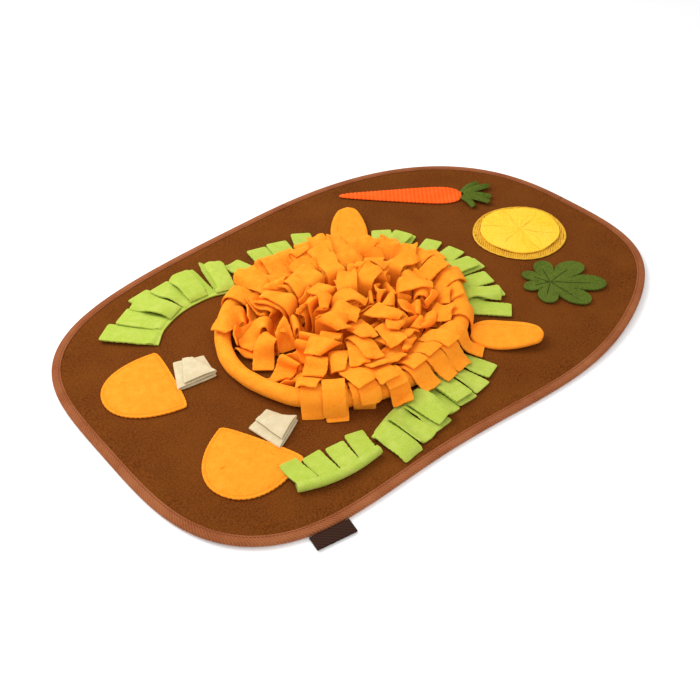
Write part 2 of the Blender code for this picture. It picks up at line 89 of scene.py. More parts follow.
def look_from(thing, place, target):
    """Stand a camera or lamp at a place in millimetres and turn it to a target."""
    thing.location = Vector(place) * MM
    thing.rotation_euler = (Vector(target) - Vector(place)).to_track_quat("-Z", "Y").to_euler()
    bpy.context.scene.collection.objects.link(thing)


toward_camera = np.array((math.sin(VIEW_TURN) * math.cos(VIEW_RISE),
                          -math.cos(VIEW_TURN) * math.cos(VIEW_RISE), math.sin(VIEW_RISE)))
camera = bpy.data.objects.new("camera", bpy.data.cameras.new("camera"))
camera.data.sensor_width = SENSOR_WIDTH
camera.data.lens = FOCAL_PIXELS / PHOTO_PIXELS * SENSOR_WIDTH
camera.data.clip_end = CLIP_END
look_from(camera, VIEW_TARGET + toward_camera * VIEW_DISTANCE, VIEW_TARGET)
bpy.context.scene.camera = camera

for name, place, size, watts in LAMPS:
    lamp = bpy.data.objects.new(name, bpy.data.lights.new(name, "AREA"))
    lamp.data.size = size * MM
    lamp.data.energy = watts
    look_from(lamp, place, (0.0, 0.0, 0.0))

world = bpy.data.worlds.new("white_room")
world.use_nodes = True
background = world.node_tree.nodes["Background"]
background.inputs["Color"].default_value = (1.0, 1.0, 1.0, 1.0)
background.inputs["Strength"].default_value = ROOM_LIGHT
bpy.context.scene.world = world
bpy.context.scene.view_settings.view_transform = "Standard"

# smooth white paper: matt, so it shows soft shadows and no gloss
white_paper = new_material("white_paper", {
    "Base Color": linear("FCFCFC"), "Roughness": 0.95, "Specular IOR Level": 0.0,
    "Emission Color": linear("FFFFFF"), "Emission Strength": PAPER_GLOW})[0]
corners = np.array(((-1, -1), (1, -1), (1, 1), (-1, 1))) * PAPER_HALF * MM
paper_mesh = bpy.data.meshes.new("paper")
paper_mesh.from_pydata(np.c_[corners, np.full(4, -PAPER_DROP * MM)].tolist(), [], [(0, 1, 2, 3)])
paper_mesh.materials.append(white_paper)
floor = bpy.data.objects.new("paper", paper_mesh)
bpy.context.scene.collection.objects.link(floor)

# =============================================================================
# The mat: one piece of brown needled felt, 3 mm thick, cut to an uneven oval. It
# lies flat and climbs a little at its edge, where the lower leg of the tape is.
# =============================================================================
HALF_LENGTH, BACK_HALF_WIDTH, FRONT_HALF_WIDTH = 350.0, 232.0, 228.0
BACK_TAPER = 0.08              # the back edge comes in towards the left
FRONT_WAVE, FRONT_WAVE_LENGTH = 8.0, 450.0     # the front edge swings in, and out at the right
BACK_RIGHT, BACK_LEFT, FRONT_LEFT, FRONT_RIGHT = 2.35, 3.7, 3.8, 3.25   # squareness
EDGE_LIFTS = (
    # direction, height and spread of what lies off the floor
    (-38.0, 3.0, 22.0), (152.0, 2.0, 16.0), (-152.0, 1.4, 10.0),
)
LIFT_REACH = 36.0
EDGE_STATIONS = 480
FELT_THICK = 3.0
FELT_BLANK = (700.0, 470.0)    # what it is cut from
FELT_RISE, RISE_START, RISE_END = 1.1, 30.0, 15.0      # its climb, and how far in that lies
FELT_CUT = 1.5                 # the felt's own edge, inside the fold of the tape
FELT_INSETS = (36.0, 33.0, 30.0, 27.0, 24.0, 21.0, 18.0, 15.0, 11.0, 7.0, 3.5, FELT_CUT)
INNER_RINGS = np.linspace(0.04, 0.96, 14)      # as shares of the first inset's ring
MAT_TOP = 3.3                  # where the pieces on it lie


def ease(share):
    """Smooth step from 0 to 1."""
    share = np.clip(share, 0.0, 1.0)
    return share * share * (3.0 - 2.0 * share)


def mat_edge(angle):
    """The outline: a superellipse with its own squareness in each corner and a wave in front."""
    across, along = np.cos(angle), np.sin(angle)
    squareness = np.where(along >= 0, np.where(across >= 0, BACK_RIGHT, BACK_LEFT),
                          np.where(across >= 0, FRONT_RIGHT, FRONT_LEFT))
    x = np.sign(across) * np.abs(across) ** (2 / squareness) * HALF_LENGTH
    depth = np.abs(along) ** (2 / squareness)
    back = depth * BACK_HALF_WIDTH * (1 + BACK_TAPER * x / HALF_LENGTH)
    wave = FRONT_WAVE * np.sin(2 * np.pi * x / FRONT_WAVE_LENGTH)
    front = -depth * FRONT_HALF_WIDTH - wave * depth ** 2
    return np.stack([x, np.where(along >= 0, back, front)], -1)


def steps_of(path):
    """Lengths of a path's steps."""
    return np.linalg.norm(np.diff(path, axis=0), axis=1)


def walked(path):
    """How far each point of a path is along it."""
    return np.concatenate([[0.0], np.cumsum(steps_of(path))])


def points_at(path, distance):
    """Points at distances along a path."""
    return np.stack([np.interp(distance, walked(path), column) for column in path.T], -1)


def even_steps(path, count, looped=False):
    """Points at equal steps along a fine path."""
    return points_at(path, np.linspace(0.0, walked(path)[-1], count, endpoint=not looped))


def outward(loop):
    """Unit normals of a closed counter-clockwise loop in plan."""
    along = np.roll(loop, -1, 0) - np.roll(loop, 1, 0)
    return np.stack([along[:, 1], -along[:, 0]], -1) / np.linalg.norm(along, axis=1)[:, None]


def edge_lift(stations, inset):
    """How far the mat is off the floor at stations of its edge, some way in from it."""
    direction = np.degrees(np.arctan2(stations[:, 1], stations[:, 0]))
    height = np.zeros(len(stations))
    for middle, rise, spread in EDGE_LIFTS:
        away = (direction - middle + 180.0) % 360.0 - 180.0
        height += rise * np.exp(-(away / spread) ** 2)
    return height * ease(1.0 - inset / LIFT_REACH)


def grid_quads(rows, columns, wrap_rows=False, wrap_columns=False):
    """Faces of a grid of points stored row by row, facing along row step x column step."""
    i, j = np.meshgrid(np.arange(rows - (not wrap_rows)),
                       np.arange(columns - (not wrap_columns)), indexing="ij")
    i2, j2 = (i + 1) % rows, (j + 1) % columns
    return np.stack([i * columns + j, i2 * columns + j, i2 * columns + j2, i * columns + j2],
                    -1).reshape(-1, 4)


def unit(vectors):
    """Vectors at length one."""
    return vectors / np.maximum(np.linalg.norm(vectors, axis=-1, keepdims=True), 1e-9)


def solid_sheet(middle, thickness, wrap=False, rim=0.62):
    """Points and faces of a closed sheet round a grid of points on its middle surface.

    Both faces lie half a thickness along the normal, less at the cut edge. A wrapped grid is
    a disc: its rows are rings from the middle out, and a point closes each face's middle.
    """
    rows, columns, _ = middle.shape
    down = np.gradient(middle, axis=0)
    if wrap:
        across = np.roll(middle, -1, 1) - np.roll(middle, 1, 1)
    else:
        across = np.gradient(middle, axis=1)
    normal = unit(np.cross(down, across))
    half = np.full((rows, columns, 1), thickness / 2)
    half[-1] *= rim
    if not wrap:
        half[0] *= rim
        half[:, 0] *= rim
        half[:, -1] *= rim
    count = rows * columns
    points = [(middle + normal * half).reshape(-1, 3), (middle - normal * half).reshape(-1, 3)]
    upper = grid_quads(rows, columns, wrap_columns=wrap)
    faces = [upper, upper[:, ::-1] + count]
    if wrap:
        edge = (rows - 1) * columns + np.arange(columns)
        centre = middle[0].mean(0)
        up = unit(normal[0].mean(0)) * thickness / 2
        points += [(centre + up)[None], (centre - up)[None]]
        ring = np.arange(columns)
        fan = np.stack([np.full(columns, 2 * count), ring, np.roll(ring, -1)], -1)
        faces += [fan, fan[:, ::-1] + np.where(fan[:, ::-1] < count, count, 1)]
    else:
        index = np.arange(count).reshape(rows, columns)
        edge = np.concatenate([index[:-1, 0], index[-1, :-1], index[:0:-1, -1], index[0, :0:-1]])
    after = np.roll(edge, -1)
    faces.append(np.stack([after, edge, edge + count, after + count], -1))
    return np.concatenate(points), faces


def add_values(mesh, name, values):
    """Keep a value for each point of a mesh, for its material to read."""
    mesh.attributes.new(name, "FLOAT", "POINT").data.foreach_set("value", values)


def make_piece(name, parts, material, stands_for=None, sharp=38.0, shades=None):
    """One mesh object from parts of points (mm) and faces, with a shade for each part. It
    rides on the mat, and may stand for a node of the CAD."""
    faces, start = [], 0
    for points, groups in parts:
        for group in groups:
            faces += (group + start).tolist()
        start += len(points)
    mesh = bpy.data.meshes.new(name)
    mesh.from_pydata((np.concatenate([points for points, _ in parts]) * MM).tolist(), [], faces)
    mesh.update()
    mesh.shade_smooth()
    mesh.set_sharp_from_angle(angle=math.radians(sharp))
    if shades is not None:
        add_values(mesh, "shade", np.repeat(np.array(shades, np.float32),
                                            [len(points) for points, _ in parts]))
    mesh.materials.append(material)
    piece = bpy.data.objects.new(name, mesh)
    bpy.context.scene.collection.objects.link(piece)
    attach(piece, "root")
    if stands_for:
        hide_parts(stands_for)
    return piece


def declare_sheet(piece, width, length, held, rests_on="mat_felt", area=None, thread=None):
    """Take a sheet's area, given in square millimetres, into square metres, with the thread that
    holds it; nothing is done with either.
    The piece, its flat size, how it is held and what it rests on are not used.
    """
    given = {"area": float(area) * MM * MM} if area else {}
    if thread:
        given["with_pieces"] = [thread]


def flat_area(loop):
    """Area of a closed outline."""
    x, y = loop[:, 0], loop[:, 1]
    return 0.5 * abs(np.sum(x * np.roll(y, -1) - y * np.roll(x, -1)))


def new_cloth(name, roughness, sheen, tint, grains=()):
    """A matt cloth: its material, tree, shader and Object coordinates, and a noise for each
    grain of (size in millimetres, detail, roughness)."""
    material, tree, shader = new_material(name, {
        "Roughness": roughness, "Specular IOR Level": 0.05, "Sheen Weight": sheen,
        "Sheen Roughness": 0.6, "Sheen Tint": linear(tint)})
    where = node(tree, "TexCoord").outputs["Object"]
    noises = [node(tree, "TexNoise", {"Vector": where, "Scale": 1.0 / (size * MM),
                                      "Detail": detail, "Roughness": rough}).outputs["Fac"]
              for size, detail, rough in grains]
    return material, tree, shader, where, noises


def finish_cloth(tree, shader, first, layers, height=None, depth=0.0, strength=1.0):
    """Colour and relief of a cloth. A layer lays its colour over what is there, as thick as its
    value spread from one range to another; the relief is a value, raised in millimetres."""
    colour = linear(first)
    for value, low, high, least, most, over in layers:
        share = node(tree, "MapRange", {"Value": value, "From Min": low, "From Max": high,
                                        "To Min": least, "To Max": most}).outputs["Result"]
        colour = node(tree, "Mix", {0: share, 6: colour, 7: linear(over)},
                      data_type="RGBA").outputs[2]
    tree.links.new(colour, shader.inputs["Base Color"])
    if height:
        bump = node(tree, "Bump", {"Height": height, "Distance": depth * MM,
                                   "Strength": strength})
        tree.links.new(bump.outputs["Normal"], shader.inputs["Normal"])


def needled_felt(name, dark, mid, light, clump, relief):
    """Needled felt: matted short fibre, pressed flat, with darker pits between the clumps.

    Real fibre clumps are under a millimetre; they are drawn about twice as coarse to show.
    """
    material, tree, shader, _, (fine, worn) = new_cloth(
        name, 0.95, 0.12, light, ((clump, 1.0, 0.5), (60.0, 2.0, 0.6)))
    finish_cloth(tree, shader, dark, ((fine, 0.30, 0.62, 0.0, 1.0, mid),
                                      (worn, 0.35, 0.75, 0.0, 0.5, light)), fine, relief)
    return material


brown_felt = needled_felt("brown_needled_felt", "502608", "723C12", "7A4314", 1.6, 0.9)
edge = even_steps(mat_edge(np.linspace(0.0, 2.0 * np.pi, 6000)), EDGE_STATIONS, looped=True)
edge_out = outward(edge)
inner_edge = edge - edge_out * FELT_INSETS[0]
rings = [np.c_[inner_edge * share, np.zeros(EDGE_STATIONS)] for share in INNER_RINGS]
for inset in FELT_INSETS:
    rise = FELT_RISE * ease((RISE_START - inset) / (RISE_START - RISE_END))
    rings.append(np.c_[edge - edge_out * inset, rise + edge_lift(edge, inset)])
felt_middle = np.stack(rings) + np.array((0.0, 0.0, FELT_THICK / 2))
mat = make_piece("mat_felt", [solid_sheet(felt_middle, FELT_THICK, wrap=True, rim=1.0)],
                 brown_felt, "mat")
declare_sheet(mat, *FELT_BLANK, "laid", "paper", area=flat_area(edge - edge_out * FELT_CUT))

# =============================================================================
# The binding: red-brown twill tape folded over the felt's edge and sewn through
# near its inner edge. Its fold stands 5 mm high and its legs are 9.6 mm wide.
# =============================================================================
TAPE_HEIGHT, TAPE_WIDTH, TAPE_THICK = 5.2, 9.6, 1.0
TAPE_FOLD = 2.2                # radius of the outer fold
TAPE_SEAM = 7.7                # how far in the seam runs
SEAM_SINK = 0.22               # how deep it draws the tape in
TAPE_STITCH = (3.4, 2.6, 0.45)     # pitch, length and half the thread's width
RIB_PITCH, TWILL_PITCH = 1.4, 3.4
WAVE_PERIOD = 0.628            # of a diagonal wave texture at scale one


def tape_section():
    """The folded tape cut across, as (inset, height): the outer skin, then the inner one.
    Its top sinks at the seam, and its fold is a quarter circle above and below."""
    turn = np.radians(np.linspace(90.0, 0.0, 6))
    inset = np.array([TAPE_WIDTH, 8.6, TAPE_SEAM, 6.6, 5.1, 3.5])
    crown = np.array([-0.25, -0.02, -SEAM_SINK, 0.0, 0.12, 0.1])
    top = np.c_[inset, TAPE_HEIGHT + crown]
    fold = np.c_[TAPE_FOLD - TAPE_FOLD * np.cos(turn),
                 TAPE_HEIGHT - TAPE_FOLD + TAPE_FOLD * np.sin(turn)]
    under = np.c_[fold[::-1, 0], TAPE_HEIGHT - fold[::-1, 1]]
    low = np.array([[4.0, 0.0], [7.0, 0.0], [TAPE_WIDTH, 0.0]])
    wall, roof = TAPE_THICK, TAPE_HEIGHT - TAPE_THICK
    inner = np.array([[TAPE_WIDTH, wall], [4.0, wall], [wall + 0.5, wall + 0.1],
                      [wall, wall + 0.6], [wall, roof - 0.6], [wall + 0.5, roof - 0.1],
                      [4.0, roof], [TAPE_WIDTH, roof - 0.1]])
    return np.concatenate([top, fold, under, low, inner])


def twill_tape(name, dark, mid, light, ridge):
    """Twill tape: fine ribs across it under slanting ridges, drawn three times coarser than
    real so that they show. Its own UV runs along it in millimetres."""
    material, tree, shader, _, (fine, worn) = new_cloth(
        name, 0.85, 0.1, light, ((1.6, 2.0, 0.6), (35.0, 2.0, 0.6)))
    run = node(tree, "UVMap", uv_map="along").outputs["UV"]
    ribs = node(tree, "TexWave", {"Vector": run, "Scale": 1.0 / RIB_PITCH / 2.0, "Distortion": 1.2,
                                  "Detail": 2.0, "Detail Scale": 2.0},
                bands_direction="X").outputs["Fac"]
    twill = node(tree, "TexWave", {"Vector": run, "Scale": WAVE_PERIOD / TWILL_PITCH,
                                   "Distortion": 1.0, "Detail": 1.0},
                 bands_direction="DIAGONAL").outputs["Fac"]
    height = node(tree, "Math", {0: twill, 1: fine}, operation="ADD").outputs["Value"]
    finish_cloth(tree, shader, dark, (
        (fine, 0.3, 0.7, 0.0, 1.0, mid), (ribs, 0.2, 1.0, 0.0, 0.35, dark),
        (worn, 0.35, 0.7, 0.0, 0.7, light), (twill, 0.45, 0.95, 0.0, 0.26, ridge)),
        height, 0.5, 0.7)
    return material


def sewing_thread(name, colour):
    """Spun polyester sewing thread: smooth, a little glossier than cloth, of one colour."""
    material, _, shader, _, _ = new_cloth(name, 0.6, 0.0, colour)
    shader.inputs["Base Color"].default_value = linear(colour)
    return material


def stitches(path, pitch, length, thread):
    """Points and faces of thread stitches along a path: small six-sided grains.

    Each grain is a round of the thread's half width, swept to a point at both ends and laid
    along the path, a third of that above it.
    """
    whole = walked(path)[-1]
    count = max(2, int(whole / pitch))
    middle = (np.arange(count) + 0.5) * whole / count
    ahead = unit(points_at(path, middle + 0.4) - points_at(path, middle - 0.4))
    side = unit(np.cross((0.0, 0.0, 1.0), ahead))
    up = np.cross(ahead, side)
    along = np.array((-0.5, -0.36, 0.0, 0.36, 0.5)) * length
    swell = np.array((0.25, 0.85, 1.0, 0.85, 0.25)) * thread
    turn = np.arange(6) * np.pi / 3
    ring = (side[:, None, None] * (np.cos(turn)[:, None] * swell[:, None, None])
            + up[:, None, None] * (np.sin(turn)[:, None] * swell[:, None, None]))
    points = (points_at(path, middle)[:, None, None] + ahead[:, None, None] * along[:, None, None]
              + up[:, None, None] * (thread * 0.35) + ring)
    tube = grid_quads(5, 6, wrap_columns=True)
    caps = np.array([[0, 1, 2, 3], [0, 3, 4, 5]])
    one = np.concatenate([tube[:, ::-1], caps, caps[:, ::-1] + 24])
    faces = (one[None] + (np.arange(count) * 30)[:, None, None]).reshape(-1, 4)
    return points.reshape(-1, 3), [faces]


def closed(loop):
    """A loop with its first point again at its end."""
    return np.vstack([loop, loop[:1]])


section = tape_section()
tape_rings = np.stack([np.c_[edge - edge_out * inset, height + edge_lift(edge, inset)]
                       for inset, height in section])
tape_faces = grid_quads(len(section), EDGE_STATIONS, wrap_rows=True, wrap_columns=True)
red_brown_tape = twill_tape("red_brown_twill_tape", "763C1D", "965432", "A1633E", "BC7A50")
binding = make_piece("binding_tape", [(tape_rings.reshape(-1, 3), [tape_faces])], red_brown_tape,
                     "binding", sharp=55.0)
edge_length = float(steps_of(closed(edge)).sum())
corner = np.zeros(len(binding.data.loops), np.int32)
binding.data.loops.foreach_get("vertex_index", corner)
binding.data.uv_layers.new(name="along").data.foreach_set("uv", np.stack([
    (corner % EDGE_STATIONS) * edge_length / EDGE_STATIONS,
    section[corner // EDGE_STATIONS, 0]], -1).astype(np.float32).ravel())
seam_line = np.c_[edge - edge_out * TAPE_SEAM, TAPE_HEIGHT - SEAM_SINK + edge_lift(edge, TAPE_SEAM)]
seam = make_piece("binding_stitches", [stitches(closed(seam_line), *TAPE_STITCH)],
                  sewing_thread("brown_sewing_thread", "814527"))
declare_sheet(binding, 2 * TAPE_WIDTH + TAPE_HEIGHT, edge_length, "folded", thread=seam)

# =============================================================================
# The tab: a short loop of dark ribbon caught under the tape at the front left. It
# is blank, and its two layers lie flat on each other.
# =============================================================================
TAB_DIRECTION = -138.0
TAB_WIDTH, TAB_ROOT, TAB_REACH = 41.0, 0.3, 15.5       # it starts and ends off the mat's edge
TAB_LAYER = 1.0
TAB_LOW, TAB_HIGH = 1.2, 2.6   # the middles of its two layers
SATIN_LINE = 1.1               # between real lines; those drawn lie about twice as far apart

# satin ribbon: a dense weave with slanting lines and a faint gloss, drawn coarser to show
dark_ribbon, tree, shader, where, _ = new_cloth("dark_satin_ribbon", 0.5, 0.15, "54362C")
satin = node(tree, "TexWave", {"Vector": where, "Scale": 1.0 / (SATIN_LINE * MM) / 6.0,
                               "Distortion": 0.6}, bands_direction="DIAGONAL").outputs["Fac"]
finish_cloth(tree, shader, "291812", ((satin, 0.0, 1.0, 0.0, 1.0, "3D261C"),), satin, 0.15, 0.5)

station = np.argmin(np.abs(np.degrees(np.arctan2(edge[:, 1], edge[:, 0])) - TAB_DIRECTION))
tab_out, tab_at = edge_out[station], edge[station]
tab_side = np.array((-tab_out[1], tab_out[0]))     # along the mat's edge
turn = np.linspace(0.5 * np.pi, -0.5 * np.pi, 9)
fold = (TAB_HIGH - TAB_LOW) / 2
run = np.linspace(TAB_ROOT, TAB_REACH - fold, 6)
route = np.concatenate([
    np.c_[run, np.full(6, TAB_HIGH)],
    np.c_[TAB_REACH - fold + fold * np.cos(turn), TAB_LOW + fold + fold * np.sin(turn)],
    np.c_[run[::-1], np.full(6, TAB_LOW)]])
across = np.linspace(-TAB_WIDTH / 2, TAB_WIDTH / 2, 24)
plan = tab_at + tab_out * route[:, None, :1] + tab_side * across[None, :, None]
height = np.broadcast_to(route[:, None, 1:], (*plan.shape[:2], 1))
tab = make_piece("tab_ribbon", [solid_sheet(np.concatenate([plan, height], -1), TAB_LAYER)],
                 dark_ribbon, "tab")
declare_sheet(tab, TAB_WIDTH, 2 * TAB_REACH + TAB_LAYER, "folded", "binding_tape")

# =============================================================================
# The ring: an orange fleece tube with a soft filling, sewn down in an oval. It is
# a little flat underneath, uneven where the filling bunches, and seamed inside.
# =============================================================================
RING_CENTRE = np.array((-45.0, -8.0))
RING_RADII = np.array((141.5, 120.0))      # of its middle line
TUBE_RADIUS = 11.4
TUBE_SIDES, TUBE_STATIONS = 28, 360
LEAN_DIRECTION, LEAN_LOSS = 178.0, 0.17    # where it holds the least filling, and how much less
SEWN_OFF = ((0.9, 3, 1.2), (0.8, 5, 0.3), (0.5, 8, 2.2))           # how it strays off the oval
BUNCHES = ((0.02, 9, 0.4), (0.018, 17, 2.0), (0.012, 31, 1.0))     # how the filling bunches
SEAM_TURN, SEAM_SPREAD, SEAM_DEPTH = 3.9, 0.22, 0.07   # where round the tube its seam is
PUCKER, PUCKERS = 0.018, 74


def ring_point(direction, reach=0.0):
    """Places and outward directions on the ring's oval grown by reach; directions in degrees."""
    angle = np.radians(direction)
    around = np.stack([np.cos(angle), np.sin(angle)], -1)
    away = unit(around / RING_RADII)
    return RING_CENTRE + RING_RADII * around + away * reach, away


def ripple(x, waves):
    """A sum of sine waves, each of (amount, turns, phase)."""
    return sum(amount * np.sin(turns * x + phase) for amount, turns, phase in waves)


def brushed_fleece(name, deep, mid, light):
    """Brushed fleece: a knit whose face is raised to a short soft pile.

    The pile is half a millimetre; its tufts are drawn at two millimetres so that they show,
    over a slow unevenness where the pile lies another way. Sheen lightens its turned edges.
    """
    material, tree, shader, _, (pile, lie) = new_cloth(
        name, 0.9, 0.18, light, ((1.9, 3.0, 0.7), (9.0, 2.0, 0.5)))
    shader.inputs["Subsurface Weight"].default_value = 0.15
    shader.inputs["Subsurface Radius"].default_value = (1.0, 0.5, 0.2)
    shader.inputs["Subsurface Scale"].default_value = 5.0 * MM
    shade = node(tree, "Attribute", attribute_name="shade").outputs["Fac"]
    height = node(tree, "Math", {0: pile, 1: lie}, operation="ADD").outputs["Value"]
    finish_cloth(tree, shader, deep, (
        (pile, 0.3, 0.62, 0.0, 1.0, mid), (lie, 0.42, 0.68, 0.0, 0.55, light),
        (shade, 0.0, 1.0, 0.0, 0.35, deep)), height, 0.7, 0.55)
    return material


orange_fleece = brushed_fleece("orange_brushed_fleece", "FA861A", "FF9B29", "FFA331")
around = np.linspace(0.0, 360.0, TUBE_STATIONS, endpoint=False)
spot, away = ring_point(around, ripple(np.radians(around), SEWN_OFF)[:, None])
turn = np.linspace(0.0, 2 * np.pi, TUBE_SIDES, endpoint=False)
swell = 1.0 + ripple(np.radians(around), BUNCHES)
pucker = PUCKER * np.sin(np.radians(around) * PUCKERS)
lean = np.cos(np.radians(around - LEAN_DIRECTION)) * 0.5 + 0.5
radius = TUBE_RADIUS * (0.95 - LEAN_LOSS * lean ** 3)
groove = np.exp(-((turn - SEAM_TURN) / SEAM_SPREAD) ** 2) * (SEAM_DEPTH - pucker[:, None])
reach = (radius * swell)[:, None] * (1.0 - groove)
up_part = np.maximum(reach * np.sin(turn), 0.4 - radius[:, None])
tube_points = np.concatenate([
    spot[:, None] + away[:, None] * (reach * np.cos(turn))[..., None],
    (MAT_TOP + radius[:, None] + up_part)[..., None]], -1)
tube = make_piece("ring_tube_fleece", [(tube_points.reshape(-1, 3), [
    grid_quads(TUBE_STATIONS, TUBE_SIDES, True, True)])], orange_fleece,
    "ring_tube", sharp=80.0, shades=[0.0])

# =============================================================================
# The heap: bands of orange fleece cut into strips about 23 mm wide, square at their
# ends. Each band is sewn down along its uncut middle, and its strips stand up inside
# the ring until they are let fall, further on, over each other and over the tube.
# =============================================================================
HEAP_SEED = 11                 # all uneven amounts of the heap are drawn from this, in order
FLEECE_THICK = 2.3
ROWS, COLUMNS = 13, 5          # points of a strip while it falls, along and across
STRIP_HALF = 9.5               # half the width of those points; the cloth goes on past them
HEAP_MARGIN = 2.1              # by this much at each side
STRIP_PITCH = 25.0
BACK_TO_BACK = 2.9             # from a band's seam to the strips at either side of it
HEAP_BANDS = (
    # name, node, radii, start and end direction, height sewn and held up, cut length, share of
    # second strips, least push, and how far the strips stray from falling outward
    ("heap_strips_outer_front", "heap_outer_front", (117.0, 95.5), (-150.0, -52.0),
     13.0, 80.0, 0.9, 1800.0, 0.5),
    ("heap_strips_outer_right", "heap_outer_right", (117.0, 95.5), (-51.0, 43.0),
     15.0, 76.0, 0.9, 1300.0, 0.7),
    ("heap_strips_outer_back", "heap_outer_back", (117.0, 95.5), (44.0, 142.0),
     20.0, 74.0, 0.9, 500.0, 1.1),
    ("heap_strips_second", "heap_band_second", (92.0, 72.0), (-172.0, 178.0),
     25.0, 76.0, 0.9, 700.0, 1.0),
    ("heap_strips_third", "heap_band_third", (67.0, 48.5), (-176.0, 176.0),
     31.0, 78.0, 1.0, 500.0, 1.4),
    ("heap_strips_inner", "heap_band_inner", (41.0, 25.0), (-178.0, 170.0),
     35.0, 80.0, 1.0, 300.0, 2.5),
)
HEAP_CORE = ("heap_strips_core", "heap_core")
CORE_HELD, CORE_LENGTH, CORE_PUSH, CORE_WILD = 35.0, 78.0, 300.0, 2.5
CORE_STRIPS = (
    # place along the core's seam and the way the strip faces
    (-72.0, 100.0), (-70.0, -60.0), (-53.0, 150.0), (-51.0, -35.0), (-34.0, 70.0), (-32.0, -110.0),
)
CORE_SEAM = np.array(((-79.0, -4.4), (-52.0, -5.0), (-25.0, -5.6)))
SPINE_HALF = 11.2              # the uncut middle of a band, sewn flat on the mat
MOST_PUSH = 3000.0             # a gust's strength, by which a strip is pushed over
strips = []                    # group, points, which are held, gust and shade of each


def heading(angle):
    """The unit vector in plan at an angle."""
    return np.array((math.cos(angle), math.sin(angle)))


def turned_by(way, angle):
    """A direction in plan turned by an angle."""
    return np.array((way[0] * np.cos(angle) - way[1] * np.sin(angle),
                     way[0] * np.sin(angle) + way[1] * np.cos(angle)))


def left_of(way):
    """Directions in plan a quarter turn to the left of some."""
    return np.stack([-way[..., 1], way[..., 0]], -1)


def strip_points(base, way, profile):
    """A flat strip: profile rows of (outward, height) carried across its width at a base."""
    side = np.linspace(-STRIP_HALF, STRIP_HALF, COLUMNS)
    plan = (base + profile[:, :1] * way)[:, None] + side[None, :, None] * left_of(way)
    return np.concatenate([plan, np.repeat(profile[:, 1:2], COLUMNS, 1)[..., None]], -1)


def heap_strip(group, spot, way, held_height, length, gap, least, wild):
    """A strip of the heap, a gap off its seam. It stands up and leans outward more and more,
    and is pushed mostly outward, the more the higher, and more on one side."""
    way = heading(math.atan2(way[1], way[0]) + draw.normal(0.0, 0.15))
    along = np.linspace(0.0, length, ROWS)
    lean = (3.0 + 0.5 * gap) * (along / length) ** 2
    points = strip_points(spot + way * gap, way, np.stack([lean, MAT_TOP + 1.0 + along], -1))
    height = points[..., 2] - MAT_TOP
    push = np.array((*turned_by(way, draw.normal(0.0, wild)), 0.0))
    twist = draw.uniform(-0.5, 0.5) * np.linspace(-1.0, 1.0, COLUMNS)[None, :, None]
    share = np.clip((height - held_height) / (length - held_height), 0.0, 1.0)[..., None]
    gust = push * share * draw.uniform(least, MOST_PUSH) * (1.0 + twist)
    strips.append((group, points, height <= held_height, gust, 0.5 * draw.uniform(0.0, 1.0) ** 2))


def spine(path, phase):
    """The uncut middle of a band: a flat sheet along its seam, its edges a little uneven, and
    its area."""
    right = -left_of(unit(np.gradient(path, axis=0)))
    side = np.linspace(-1.0, 1.0, 7)[None, :]
    number = np.arange(len(path))[:, None]
    reach = SPINE_HALF + 0.5 * np.sin(number * 0.9 + phase + side)
    plan = path[:, None] + (reach * side)[..., None] * right[:, None]
    height = MAT_TOP + 1.15 + 0.5 * np.abs(side) * (1.0 + np.sin(number * 0.7 + 2.0 * phase))
    return (solid_sheet(np.concatenate([plan, height[..., None]], -1), FLEECE_THICK),
            2 * SPINE_HALF * steps_of(path).sum())


draw = np.random.default_rng(HEAP_SEED)
spines = {HEAP_CORE[0]: CORE_SEAM}
for group, _, radii, arc, held_height, length, seconds, least, wild in HEAP_BANDS:
    radii = np.array(radii)
    angle = np.radians(np.linspace(*arc, 2000))
    path = RING_CENTRE + radii * np.stack([np.cos(angle), np.sin(angle)], -1)
    spines[group] = path[::25]
    count = int(round((steps_of(path).sum() - STRIP_PITCH) / STRIP_PITCH)) + 1
    for spot in even_steps(path, 2 * count + 1)[1::2]:
        way = unit((spot - RING_CENTRE) / radii ** 2)
        heap_strip(group, spot, way, held_height, length * draw.uniform(0.86, 1.06),
                   BACK_TO_BACK, least, wild)
        if draw.uniform() < seconds:
            heap_strip(group, spot, way, held_height, length * draw.uniform(0.7, 0.98),
                       -BACK_TO_BACK, least, wild)
for x, facing in CORE_STRIPS:
    heap_strip(HEAP_CORE[0], np.array((x, -5.0)), heading(math.radians(facing)), CORE_HELD,
               CORE_LENGTH * draw.uniform(0.85, 1.0), BACK_TO_BACK, CORE_PUSH, CORE_WILD)

# =============================================================================
# The fringes: light green fleece bands, cut into strips up to an uncut edge that is
# sewn to the mat round the ring. They lie outward; the one at the front left is
# folded back over itself and over the lower mushroom cap.
# =============================================================================
FRINGE_SEED = 12
FRINGE_PITCH = 22.5
FRINGES = (
    # name, node, seam as directions round the ring or as corners, length, share of second
    # strips, splay, and what a strip widens and laps over the next at its free end
    ("fringe_strips_back", "fringe_back", (103.0, 66.0), 42.0, 0.2, 0.0, (0.8, 2.4)),
    ("fringe_strips_back_right", "fringe_back_right", (36.0, 25.0), 36.0, 0.2, 0.0, (-0.4, -1.2)),
    ("fringe_strips_right", "fringe_right", (18.0, -38.0), 38.0, 0.2, 0.0, (-0.8, -1.6)),
    ("fringe_strips_front", "fringe_front",
     ((20.0, -134.0), (-18.0, -142.0), (-60.0, -147.0), (-100.0, -154.0), (-130.0, -163.0)),
     37.0, 0.3, 0.18, (0.0, -1.8)),
    ("fringe_strips_back_left", "fringe_back_left",
     ((-229.0, 103.0), (-207.0, 123.0), (-171.0, 137.0), (-131.0, 138.0), (-101.0, 127.0)),
     47.0, 0.7, -0.20, (2.3, 3.0)),
)
FOLDED_FRINGE = ("fringe_strips_front_left", "fringe_front_left")
FOLDED_SEAM = ((-146.0, -170.0), (-176.0, -171.0), (-206.0, -166.0), (-234.0, -155.0))
